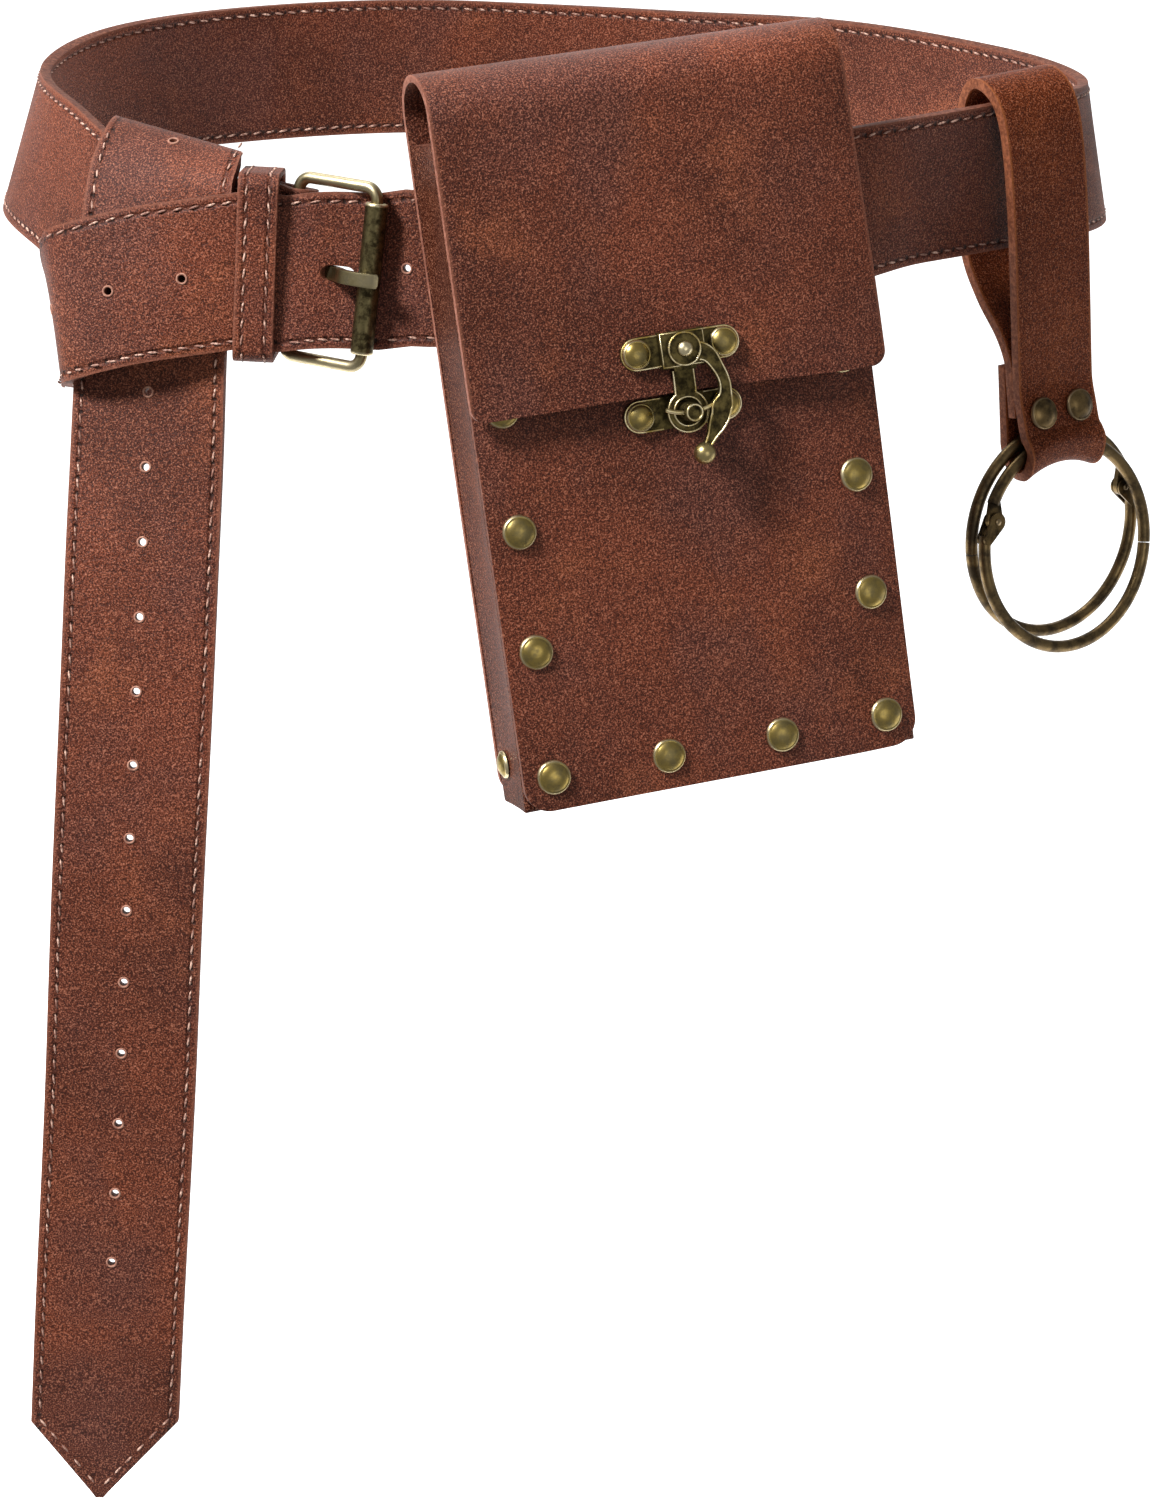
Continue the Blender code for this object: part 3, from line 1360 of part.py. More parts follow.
def make_hanger(place):
    centres, across, bows = [], [], []
    for out, down, bow in HANGER_ROWS:
        centres.append(hanger_point(out, down))
        across.append(Vector((1, 0, 0)))
        bows.append(Vector((0, 0, FOLD_ARCH * max(bow, 0.0))))
    sections = strip_sections(centres, across, [0.5 * HANGER_WIDTH] * len(centres))
    strap = add_leather("hanger_strap", sections, HANGER_THICK, TAN, place, columns=4, bows=bows)
    bpy.context.view_layer.update()
    bm = bmesh.new()
    for matrix in hanger_rivet_places():
        length = 2 * HANGER_FRONT
        hole = matrix @ Matrix.Translation((0, 0.4 * length, 0)) @ Matrix.Rotation(0.5 * math.pi, 4, "X")
        add_rod(bm, hole, RIVET_HOLE, length, 8)
    cut_with(strap, bm)
    grip = hanger_rivet_face() - HANGER_ROWS[0][0] * HANGER_FRONT + 0.5 * HANGER_THICK
    tilt = math.radians(abs(HANGER_RIVET_TILT))
    grip = grip / math.cos(tilt) + RIVET_CAP * math.sin(tilt)
    for k, matrix in enumerate(hanger_rivet_places(), 1):
        add_rivet(f"hanger_rivet_{k}", matrix, RIVET_HEAD, RIVET_DOME, grip, DARK_BRONZE, place)
    return strap


# Rings


def arc_mesh(start, end, steps, sides):
    """Round wire bent on the ring's circle between two angles, in the ring's x and z."""
    bm = bmesh.new()
    loops = []
    for i in range(steps + 1):
        angle = math.radians(start + (end - start) * i / steps)
        middle = Vector((math.cos(angle), 0, math.sin(angle)))
        loop = []
        for k in range(sides):
            turn = 2 * math.pi * k / sides
            spot = middle * (RING_RADIUS + RING_WIRE * math.cos(turn))
            loop.append(bm.verts.new(spot + Vector((0, RING_WIRE * math.sin(turn), 0))))
        loops.append(loop)
    for a, b in zip(loops, loops[1:]):
        bridge(bm, a, b)
    bm.faces.new(loops[0])
    bm.faces.new(loops[-1])
    bmesh.ops.recalc_face_normals(bm, faces=bm.faces)
    return bm


def ring_spot(angle, radius=RING_RADIUS):
    angle = math.radians(angle)
    return Vector((radius * math.cos(angle), 0, radius * math.sin(angle)))


def hinge_spot():
    return ring_spot(HINGE_ANGLE, RING_RADIUS - HINGE_INSET)


def link_plate(end_angle, low, high):
    """A flat plate from the hinge pin out to the wire's end."""
    bm = bmesh.new()
    pin = hinge_spot()
    end = ring_spot(end_angle)
    points = []
    for k in range(8):
        turn = 2 * math.pi * (k + 0.5) / 8
        ray = Vector((math.cos(turn), 0, math.sin(turn)))
        points.append(pin + ray * HINGE_KNUCKLE)
        points.append(end + ray * 0.86 * RING_WIRE)
    verts = []
    for y in (low, high):
        verts += [bm.verts.new(point + Vector((0, y, 0))) for point in points]
    found = bmesh.ops.convex_hull(bm, input=verts)
    spare = [item for item in found["geom_interior"] if isinstance(item, bmesh.types.BMVert)]
    bmesh.ops.delete(bm, geom=spare, context="VERTS")
    flat = 0.01
    bmesh.ops.dissolve_limit(bm, angle_limit=flat, verts=bm.verts, edges=bm.edges)
    bmesh.ops.recalc_face_normals(bm, faces=bm.faces)
    return bm


def make_ring(name, side, swing):
    """One hinged ring: an upper part through the fold, and a lower part that opens at the hinge."""
    place = Matrix.Identity(4) if side > 0 else Matrix.Rotation(math.pi, 4, "Z")
    seam = math.degrees(SEAM_GAP / RING_RADIUS)
    centre = add_empty(f"{name}_centre", Matrix.Translation(ring_hang()) @ place, swing)
    bpy.context.view_layer.update()
    turn = Matrix.Rotation(0.5 * math.pi, 4, "X")
    upper_mesh = arc_mesh(SNAP_ANGLE + seam, HINGE_ANGLE - HINGE_CUT, 12, 8)
    upper = add_object(f"{name}_upper", upper_mesh, DARK_BRONZE, centre)
    bpy.context.view_layer.update()
    join_with(upper, link_plate(HINGE_ANGLE - HINGE_CUT - 2, -EYE_HALF, EYE_HALF))
    bm = bmesh.new()
    add_rod(bm, Matrix.Translation(hinge_spot()) @ turn, HINGE_PIN + HINGE_ROOM, 4 * RING_WIRE, 10)
    cut_with(upper, bm)
    lower_mesh = arc_mesh(HINGE_ANGLE + HINGE_CUT, 360 + SNAP_ANGLE, 15, 8)
    lower = add_object(f"{name}_lower", lower_mesh, DARK_BRONZE, centre)
    bpy.context.view_layer.update()
    ear_outer = RING_WIRE + 0.04 * MM
    for low, high in ((-ear_outer, -EAR_INNER), (EAR_INNER, ear_outer)):
        join_with(lower, link_plate(HINGE_ANGLE + HINGE_CUT + 2, low, high))
    bm = bmesh.new()
    add_rod(bm, Matrix.Translation(hinge_spot()) @ turn, HINGE_PIN, 2 * RING_WIRE + 0.2 * MM, 10)
    join_with(lower, bm)
    return upper, lower


def ring_hang():
    """From the wire in the middle of the leaning fold to the ring's centre, straight below its top."""
    lean = math.radians(HANGER_LEAN)
    return Vector((math.sin(lean), 0, -math.cos(lean))) * RING_RADIUS


def ring_swing_matrix(hanger, out, up, splay):
    """Where a ring's wire crosses the middle of the fold, turned to the ring's own plane."""
    fold = hanger_point(HANGER_ROWS[5][0], HANGER_ROWS[5][1])
    lift = FOLD_ARCH + 0.5 * HANGER_THICK + RING_LIFT + RING_WIRE
    spot = hanger @ (fold + Vector((0, RING_BACK - out, lift + up)))
    turn = Matrix.Rotation(math.radians(RING_TURN), 4, "Z")
    return Matrix.Translation(spot) @ turn @ Matrix.Rotation(math.radians(splay), 4, "X")


def make_rings(hanger):
    front = add_empty("ring_front_swing", ring_swing_matrix(hanger, 0.5 * RING_SPREAD, 0.0, -RING_SPLAY))
    back = add_empty("ring_back_swing", ring_swing_matrix(hanger, -0.5 * RING_SPREAD, RING_STACK, 0.0))
    bpy.context.view_layer.update()
    make_ring("ring_front", 1, front)
    make_ring("ring_back", -1, back)


def main():
    clear_scene()
    make_belt_strap()
    make_hanging_end()
    make_keeper()
    make_buckle_frame()
    make_roller()
    make_prong()
    pouch = add_empty("pouch_place", pouch_matrix())
    bpy.context.view_layer.update()
    make_front_panel(pouch)
    make_gusset(pouch)
    make_back_and_flap(pouch)
    make_pouch_rivets(pouch)
    make_back_loops(pouch)
    make_upper_plate(pouch)
    make_lower_plate(pouch)
    make_lever(pouch)
    make_pivot(pouch)
    make_clasp_rivets(pouch)
    hanger = hanger_matrix()
    place = add_empty("hanger_place", hanger)
    bpy.context.view_layer.update()
    make_hanger(place)
    make_rings(hanger)
    bpy.context.view_layer.update()


main()
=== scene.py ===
"""A worn leather belt with a knotted end, a riveted flap pouch and a strap hanger with hinged rings.

Everything is in metres in the frame of the solids: +Z up, -Y the wearer's front.
"""

import math

import bmesh
import bpy
from mathutils import Matrix, Vector, noise


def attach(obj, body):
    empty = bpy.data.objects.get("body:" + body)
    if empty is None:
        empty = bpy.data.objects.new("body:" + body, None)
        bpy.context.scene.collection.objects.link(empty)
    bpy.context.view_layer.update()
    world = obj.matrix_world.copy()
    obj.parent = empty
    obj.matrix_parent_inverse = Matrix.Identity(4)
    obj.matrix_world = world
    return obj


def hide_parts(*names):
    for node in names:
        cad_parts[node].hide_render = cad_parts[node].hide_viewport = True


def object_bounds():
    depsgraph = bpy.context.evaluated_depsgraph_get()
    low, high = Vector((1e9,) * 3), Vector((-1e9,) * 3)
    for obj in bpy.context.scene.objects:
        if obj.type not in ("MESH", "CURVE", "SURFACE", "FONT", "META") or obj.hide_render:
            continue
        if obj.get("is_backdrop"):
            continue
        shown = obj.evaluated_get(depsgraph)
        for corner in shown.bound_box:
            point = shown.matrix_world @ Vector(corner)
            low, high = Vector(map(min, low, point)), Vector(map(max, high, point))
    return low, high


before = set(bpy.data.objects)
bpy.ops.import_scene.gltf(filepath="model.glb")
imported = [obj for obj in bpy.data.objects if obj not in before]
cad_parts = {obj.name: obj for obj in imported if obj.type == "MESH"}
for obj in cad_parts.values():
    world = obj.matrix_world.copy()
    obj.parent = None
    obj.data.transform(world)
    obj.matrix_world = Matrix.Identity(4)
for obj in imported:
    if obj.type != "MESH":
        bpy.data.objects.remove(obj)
solid_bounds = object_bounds()

MM = 0.001

# Leather
BELT_WIDTH = 41 * MM
BELT_THICK = 3 * MM
LAYER_GAP = 0.4 * MM
SEAM_GAP = 0.3 * MM
PIECE_GAP = 0.3 * MM

# Waist loop
WAIST_HALF_WIDTH = 152 * MM
WAIST_HALF_DEPTH = 106 * MM
LOOP_STEP = 4 * MM
LOOP_END_ROOM = 8 * MM

# Belt holes
HOLE_PITCH = 20 * MM

# Buckle
BUCKLE_BEARING = 240.5
BUCKLE_SPAN = 24.5 * MM
BUCKLE_WIRE = 1.6 * MM
BUCKLE_SIDE_ROOM = 1.6 * MM
BUCKLE_DROP = 1 * MM
BUCKLE_CORNER = 3.5 * MM
BUCKLE_ROLL = 3.5
ROLLER_RADIUS = 3 * MM
ROLLER_BORE = 1.95 * MM
PRONG_WIDTH = 3.6 * MM
PRONG_THICK = 2.4 * MM
PRONG_SLOT_WIDTH = 5.2 * MM
FOLD_TAIL = 13 * MM

# Keeper
KEEPER_WIDTH = 10.8 * MM
KEEPER_THICK = 1.6 * MM
KEEPER_OFF_HEEL = 1.7 * MM
BUCKLE_END_LEAN = 0.09
KEEPER_ROLL = 3.0
KEEPER_LEAN = 3.0
KEEPER_ROOM = 0.5 * MM

# Pouch
POUCH_WIDTH = 109 * MM
POUCH_HEIGHT = 182 * MM
POUCH_DEPTH = 29 * MM
POUCH_THICK = 2 * MM
POUCH_CORNER = 7 * MM
FLANGE_WIDTH = 13 * MM
MOUTH_DROP = 5 * MM
FLAP_WIDTH = 111 * MM
FLAP_DROP = 78.5 * MM
FLAP_RISE = 11 * MM
FLAP_STAND_OFF = 2.7 * MM
FLAP_CORNER = 4 * MM
POUCH_PLACE = Vector((25.1 * MM, -135.8 * MM, 31.8 * MM))
POUCH_TURN = (-7.64, -6.01, 15.4)
BELT_BELOW_MOUTH = 40.5 * MM
BELT_OFF_POUCH = 0.8 * MM

# Where the belt leaves the pouch's flat back, as shares of its width beyond the loops
HOLD_FADE_LEFT = (0.0, 0.6)
HOLD_FADE_RIGHT = (0.15, 1.2)

# Loops on the pouch's back
BACK_LOOP_WIDTH = 24 * MM
BACK_LOOP_INSET = 26.5 * MM
BACK_LOOP_APART = POUCH_WIDTH - 2 * BACK_LOOP_INSET
BACK_LOOP_THICK = 2 * MM
BACK_LOOP_TAB = 9 * MM
BACK_LOOP_ROOM = 1.5 * MM

# Rivets
RIVET_HEAD = 4.65 * MM
RIVET_DOME = 2 * MM
RIVET_SHANK = 1.4 * MM
RIVET_HOLE = 1.9 * MM
RIVET_CAP = 3 * MM
RIVET_INSET = 8.2 * MM
SMALL_RIVET_HEAD = 3.8 * MM
LOOP_RIVET_HEAD = 3.2 * MM

# Clasp
CLASP_X = 1.4 * MM
CLASP_ABOVE_FLAP_EDGE = 11.3 * MM
CLASP_REACH = 16.5 * MM
CLASP_RIVET_OFF = 11.8 * MM
CLASP_PLATE_END = 4.3 * MM
CLASP_PLATE_THICK = 0.9 * MM
CLASP_BRIDGE_HALF = 6 * MM
CLASP_BRIDGE_RISE = 2.6 * MM
CLASP_NECK_HALF = 3 * MM
CLASP_EYE = 5.6 * MM
CLASP_EYE_HOLE = 3.5 * MM
POST_RADIUS = 2.2 * MM
POST_RISE = 2.3 * MM
LEVER_THICK = 1.3 * MM
LEVER_HEAD = 4.5 * MM
LEVER_BALL = 2.9 * MM
SPUR_RADIUS = 0.6 * MM
SPUR_ROOM = 0.45 * MM
PIVOT_RADIUS = 1.1 * MM
PIVOT_ROOM = 0.4 * MM
PIVOT_HEAD = 2 * MM

# Ring hanger
HANGER_WIDTH = 27 * MM
HANGER_THICK = 2.8 * MM
HANGER_BEARING = 335.0
HANGER_TURN = 35.0
HANGER_LEAN = 4.5
HANGER_DROP = 83 * MM
HANGER_FRONT = 11.6 * MM
HANGER_RIVET_OFF = 6.6 * MM
HANGER_SHIFT = 7.0 * MM
HANGER_RIVET_UP = 17.5 * MM
HANGER_RIVET_TILT = -12.0
FOLD_ARCH = 3.25 * MM

# Rings
RING_RADIUS = 29.5 * MM
RING_WIRE = 1.75 * MM
RING_TURN = 34.0
RING_SPREAD = 2.45 * MM
RING_STACK = 3.3 * MM
RING_SPLAY = 6.0
RING_LIFT = 1.5 * MM
RING_BACK = 0.4 * MM
HINGE_ANGLE = 160.0
SNAP_ANGLE = -7.0
HINGE_INSET = 2.3 * MM
HINGE_PIN = 0.9 * MM
HINGE_ROOM = 0.3 * MM
HINGE_KNUCKLE = 2.6 * MM
HINGE_CUT = 9.0
EYE_HALF = 0.85 * MM
EAR_INNER = 1.15 * MM

# The belt's line round the waist: reach is a share of the oval's radius at that bearing, rise a share
# of the belt's width, and lean the angle by which the top edge tips towards the wearer.
# bearing, reach, rise, lean
BELT_ROUND = (
    (0.0, 1.054, -0.05, 10.0),
    (22.5, 1.063, 0.04, 13.0),
    (45.0, 1.059, 0.14, 11.0),
    (67.5, 1.025, 0.17, 7.0),
    (90.0, 0.981, 0.22, 2.0),
    (112.5, 0.944, 0.27, 0.0),
    (135.0, 0.935, 0.27, 1.0),
    (157.5, 0.954, 0.22, 9.0),
    (180.0, 0.972, 0.10, 17.0),
    (202.5, 1.030, -0.03, 15.0),
    (225.0, 1.170, -0.32, 9.0),
    (247.5, 1.171, -0.41, 5.0),
    (270.0, 1.094, -0.37, 3.0),
    (292.5, 1.007, -0.25, 2.0),
    (315.0, 1.000, -0.10, -7.0),
    (337.5, 1.014, -0.03, -2.0),
)

# The tongue from behind the roller to the heel of the buckle.
# share of the span from the heel, shift out in layers, shift down as a share of the width
BEHIND_ROLLER_ROWS = (
    (1.0, 0.0, 0.035),
    (0.62, 0.2, 0.03),
    (0.3, 0.72, 0.04),
    (0.0, 1.15, 0.07),
)

# The tongue from the heel of the buckle to the turn at its left, and its hidden way under and behind
# the belt. Places are shares of the belt's width from the knot, the next three columns point to the
# strap's lower edge, and the last is the share of the width that is left where it is gathered.
# right, back, up, across x, across y, across z, width
KNOT_BEARING = 224.0
KNOT_DROP = 0.24
TONGUE_ROWS = (
    (0.66, -0.505, -0.19, 0.00, -0.03, -1.0, 1.0),
    (0.30, -0.500, -0.24, 0.02, -0.07, -1.0, 1.0),
    (-0.02, -0.475, -0.29, 0.04, -0.14, -1.0, 1.0),
    (-0.26, -0.450, -0.345, 0.05, -0.14, -1.0, 1.0),
    (-0.444, -0.410, -0.40, 0.06, -0.13, -1.0, 1.0),
    (-0.571, -0.300, -0.46, 0.08, -0.09, -1.0, 1.0),
    (-0.610, -0.080, -0.56, 0.13, 0.10, -0.98, 0.97),
    (-0.570, 0.150, -0.70, 0.22, 0.30, -0.92, 0.92),
    (-0.450, 0.350, -0.90, 0.38, 0.34, -0.86, 0.86),
    (-0.260, 0.470, -1.04, 0.58, 0.18, -0.80, 0.82),
    (-0.030, 0.430, -0.90, 0.76, -0.20, -0.60, 0.84),
    (0.093, 0.340, -0.52, 0.80, -0.50, -0.20, 0.92),
    (0.100, 0.288, -0.19, 0.80, -0.60, 0.00, 1.0),
    (0.100, 0.275, 0.0127, 0.80, -0.60, 0.00, 1.0),
)

# The hanging end from its hidden start behind the belt, over the top edge and down to its point.
# right, back, up, turn of its width from straight right, and how far its right edge drops
HANGING_ROWS = (
    (0.100, 0.275, 0.020, -37.0, 0.00),
    (0.110, 0.274, 0.180, -36.5, -0.04),
    (0.135, 0.300, 0.375, -35.0, -0.11),
    (0.165, 0.246, 0.533, -32.0, -0.16),
    (0.180, 0.085, 0.562, -27.0, -0.18),
    (0.155, -0.075, 0.496, -24.0, -0.17),
    (0.120, -0.205, 0.385, -20.0, -0.12),
    (0.092, -0.275, 0.190, -15.0, -0.06),
    (0.070, -0.315, -0.04, -12.5, -0.02),
    (0.040, -0.328, -0.45, -10.5, 0.00),
    (0.010, -0.355, -0.90, -8.5, 0.00),
    (-0.015, -0.480, -1.45, -4.0, 0.00),
    (-0.045, -0.635, -2.05, -1.0, 0.00),
    (-0.095, -0.800, -2.97, 0.0, 0.00),
    (-0.180, -0.950, -4.30, 0.0, 0.00),
    (-0.260, -1.060, -5.66, 0.0, 0.00),
    (-0.360, -1.150, -7.06, 0.0, 0.00),
    (-0.420, -1.180, -7.94, 0.0, 0.00),
)

# The front rivets' heights below the mouth as shares of the pouch's height, and the places of the
# middle ones along the bottom as shares of its width.
SIDE_RIVET_ROWS = (0.951, 0.768, 0.594, 0.420, 0.246, 0.085)
BOTTOM_RIVET_ROW = (-0.134, 0.156)
HANGING_POINT = (-0.472, -1.200, -8.50)
# share of the way from the full width to the point, share of the full width there
POINT_ROWS = ((0.50, 0.52), (0.92, 0.12), (1.00, 0.05))
TOP_HANGING_HOLE = 32.3 * MM
FIRST_HANGING_HOLE = 61.5 * MM
HANGING_HOLES = 15

# The clasp lever's arm from the pivot to the ball, as shares of the clasp's reach.
# right, up, width
LEVER_ROWS = (
    (0.00, 0.00, 0.36),
    (0.34, -0.12, 0.27),
    (0.50, -0.37, 0.20),
    (0.575, -0.60, 0.19),
    (0.565, -0.80, 0.22),
    (0.520, -0.93, 0.32),
    (0.480, -1.00, 0.34),
    (0.44, -1.12, 0.32),
    (0.36, -1.26, 0.28),
    (0.26, -1.42, 0.17),
    (0.14, -1.60, 0.11),
)
LEVER_BALL_AT = (0.115, -1.67)

# The hanger strap's middle line: out is a share of its stand-off in front of the belt, and down a
# share of its drop. It starts at the short end behind the rivets and ends between the layers.
# out, down, bow
HANGER_ROWS = (
    (0.457, 0.627, 0.0),
    (0.457, 0.850, 0.0),
    (0.462, 0.910, 0.3),
    (0.590, 0.972, 0.9),
    (0.780, 0.996, 1.0),
    (0.948, 1.000, 1.0),
    (1.150, 0.996, 1.0),
    (1.330, 0.972, 1.0),
    (1.430, 0.920, 0.8),
    (1.330, 0.885, 0.3),
    (1.200, 0.857, 0.0),
    (1.095, 0.790, 0.0),
    (0.990, 0.722, 0.0),
    (0.975, 0.650, 0.0),
    (0.985, 0.420, 0.0),
    (0.980, 0.145, 0.0),
    (0.890, -0.080, 0.0),
    (0.680, -0.225, 0.0),
    (0.240, -0.298, 0.0),
    (-0.340, -0.310, 0.0),
    (-0.740, -0.215, 0.0),
    (-0.820, 0.000, 0.0),
    (-0.800, 0.250, 0.0),
    (-0.300, 0.400, 0.0),
    (0.380, 0.520, 0.0),
    (0.690, 0.610, 0.0),
    (0.728, 0.680, 0.0),
    (0.800, 0.800, 0.0),
)

# Looks
STITCH_STEP = 4.3 * MM
STITCH_LENGTH = 3.0 * MM
STITCH_WIDTH = 0.7 * MM
STITCH_RISE = 0.34 * MM
STITCH_INSET = 2.4 * MM
STITCH_SLANT = 9.0
STITCH_START = 4 * MM
GRAIN_SCALE = 2300.0
TONGUE_SLOT = (0.55, 0.70)
PUNCH_RADIUS = 1.0 * MM
PUNCH_RIM = 1.3 * MM
HOLE_RIM_WIRE = 0.3 * MM
EDGE_ROUND = 0.7 * MM
STRAP_COLUMNS = 10
PANEL_COLUMNS = 32
RIVET_STEPS = 36
CAMERA_PLACE = (0.0121, -1.1678, 0.1535)
CAMERA_PITCH = 16.13
CAMERA_LENS = 96.0
CAMERA_SENSOR = 36.0
FLOOR_DROP = 0.060
BACKDROP_GLOW = 0.8
FLOOR_SIZE = 6.0
FLOOR_FRONT = 0.2
RIM_WIRE = 0.26 * MM
CLASP_RIVET = 0.84 * RIVET_HEAD
CLASP_DOME = RIVET_DOME
POST_SHOWN = 2.5 * MM
GUSSET_SAG = 1.2 * MM
BEND_FROM = 34 * MM
BEND_BACK = 2.6 * MM
BEND_OUT = 0.9 * MM
FLAP_FLARE = 1.6 * MM
FLAP_DIP = 1.8 * MM
# share of the red leather's colour kept on the gusset, as painted shade on its side walls and bottom
GUSSET_SHADE = 0.6

# share of the head's radius, share of its dome's height
DOME_ROWS = (
    (0.25, 0.97),
    (0.48, 0.86),
    (0.66, 0.68),
    (0.78, 0.50),
    (0.82, 0.42),
    (0.86, 0.44),
    (0.92, 0.36),
    (0.98, 0.18),
)


# Places


def smooth(rows, place):
    """A row read between the rows of a table, on a smooth curve through them."""
    last = len(rows) - 1
    place = min(max(place, 0.0), last)
    first = min(int(place), last - 1)
    f = place - first
    p1 = rows[first]
    p2 = rows[first + 1]
    p0 = rows[first - 1] if first > 0 else [2 * a - b for a, b in zip(p1, p2)]
    p3 = rows[first + 2] if first + 2 <= last else [2 * b - a for a, b in zip(p1, p2)]
    found = []
    for a, b, c, d in zip(p0, p1, p2, p3):
        bend = (2 * a - 5 * b + 4 * c - d) * f * f
        found.append(0.5 * (2 * b + (c - a) * f + bend + (3 * b - a - 3 * c + d) * f**3))
    return found


def round_table(bearing):
    """Reach, rise and lean of the belt at a bearing."""
    step = 360.0 / len(BELT_ROUND)
    count = len(BELT_ROUND)
    place = (bearing / step) % count
    first = int(place)
    rows = [BELT_ROUND[(first + k) % count][1:] for k in (-1, 0, 1, 2)]
    return smooth(rows, 1 + place - first)


def belt_centre(bearing):
    reach, rise, _ = round_table(bearing)
    angle = math.radians(bearing)
    oval = 1 / math.hypot(math.cos(angle) / WAIST_HALF_WIDTH, math.sin(angle) / WAIST_HALF_DEPTH)
    radius = reach * oval
    return Vector((radius * math.cos(angle), radius * math.sin(angle), rise * BELT_WIDTH))


def pouch_matrix():
    pitch, roll, yaw = (math.radians(value) for value in POUCH_TURN)
    turn = Matrix.Rotation(yaw, 4, "Z") @ Matrix.Rotation(pitch, 4, "X") @ Matrix.Rotation(roll, 4, "Y")
    return Matrix.Translation(POUCH_PLACE) @ turn


def smoothstep(low, high, value):
    share = min(max((value - low) / (high - low), 0.0), 1.0)
    return share * share * (3 - 2 * share)


def belt_frame(bearing):
    """Centre, way to the right, outward face and way up of the belt at a bearing."""
    lean = math.radians(round_table(bearing)[2])
    centre = belt_centre(bearing)
    along = (belt_centre(bearing + 0.5) - belt_centre(bearing - 0.5)).normalized()
    outward = Vector((along.y, -along.x, 0)).normalized()
    upright = outward.cross(along).normalized()
    if upright.z < 0:
        upright.negate()
    up = upright * math.cos(lean) - outward * math.sin(lean)
    return hold_to_pouch(centre, along, up)


def hold_to_pouch(centre, along, up):
    """Lays the belt flat against the pouch's back where the loops hold it."""
    place = pouch_matrix()
    local = place.inverted() @ centre
    half = 0.5 * BACK_LOOP_APART + 0.5 * BACK_LOOP_WIDTH
    start, end = HOLD_FADE_RIGHT if local.x > 0 else HOLD_FADE_LEFT
    held = 1 - smoothstep(half + start * BELT_WIDTH, half + end * BELT_WIDTH, abs(local.x))
    if centre.y > 0:
        held = 0.0
    back = POUCH_DEPTH + BELT_OFF_POUCH + 0.5 * BELT_THICK
    flat = place @ Vector((local.x, back, -BELT_BELOW_MOUTH))
    turn = place.to_3x3()
    centre = centre.lerp(flat, held)
    along = along.lerp(turn @ Vector((1, 0, 0)), held).normalized()
    up = up.lerp(turn @ Vector((0, 0, 1)), held)
    up = (up - along * up.dot(along)).normalized()
    return centre, along, along.cross(up), up


def belt_walk():
    """Bearings at equal steps along the belt, once round from the heel, going left."""
    fine = 1440
    bearings = [BUCKLE_BEARING - 360.0 * i / fine for i in range(fine + 1)]
    points = [belt_frame(bearing)[0] for bearing in bearings]
    lengths = [0.0]
    for a, b in zip(points, points[1:]):
        lengths.append(lengths[-1] + (b - a).length)
    return bearings, lengths


WALK = belt_walk()


def belt_length():
    return WALK[1][-1]


def belt_at(distance):
    """The belt's frame at a distance from the buckle's heel, going left round the waist."""
    bearings, lengths = WALK
    distance = distance % lengths[-1]
    low, high = 0, len(lengths) - 1
    while high - low > 1:
        middle = (low + high) // 2
        if lengths[middle] <= distance:
            low = middle
        else:
            high = middle
    share = (distance - lengths[low]) / (lengths[high] - lengths[low])
    return belt_frame(bearings[low] + share * (bearings[high] - bearings[low]))


def strip_sections(centres, widths_across, half_widths):
    """Sections of a strap: centre, unit vector across it and half its width there."""
    return [(c, a.normalized(), h) for c, a, h in zip(centres, widths_across, half_widths)]


def walk_sections(sections):
    lengths = [0.0]
    for a, b in zip(sections, sections[1:]):
        lengths.append(lengths[-1] + (b[0] - a[0]).length)
    return lengths


def section_at(sections, lengths, distance):
    """Centre, across and face of a strap at a distance along it."""
    i = max(k for k in range(len(lengths) - 1) if lengths[k] <= distance)
    share = (distance - lengths[i]) / (lengths[i + 1] - lengths[i])
    centre = sections[i][0].lerp(sections[i + 1][0], share)
    along = (sections[i + 1][0] - sections[i][0]).normalized()
    across = sections[i][1].lerp(sections[i + 1][1], share)
    across = (across - along * across.dot(along)).normalized()
    return centre, across, across.cross(along)


def place_matrix(centre, x, y, z):
    matrix = Matrix((x, y, z)).transposed().to_4x4()
    matrix.translation = centre
    return matrix


def heel_radius():
    """From the heel bar's axis to the middle of the leather folded round it."""
    return BUCKLE_WIRE + 1.5 * LAYER_GAP + 0.5 * BELT_THICK


def heel_axis():
    centre, along, out, up = belt_at(0.0)
    return centre - out * heel_radius(), along, out, up


def fold_stations():
    """The buckle end: a tail on the inner side, then half a turn round the heel bar."""
    stations = []
    steps = 2
    for i in range(steps):
        distance = FOLD_TAIL * (1 - i / steps)
        centre, _, out, up = belt_at(distance)
        stations.append((centre - out * 2 * heel_radius(), -up))
    bar = buckle_matrix()
    forward, inward, upright = (bar.col[k].to_3d() for k in range(3))
    turns = 20
    for i in range(turns + 1):
        angle = math.pi * i / turns
        spot = forward * math.sin(angle) + inward * math.cos(angle)
        stations.append((bar.translation + spot * heel_radius(), -upright))
    return stations


def loop_stations():
    """Once round the waist, from just left of the heel to just right of the roller."""
    total = belt_length() - BUCKLE_SPAN - LOOP_END_ROOM
    count = round(total / LOOP_STEP)
    stations = []
    for i in range(1, count + 1):
        centre, _, _, up = belt_at(total * i / count)
        stations.append((centre, -up))
    return stations


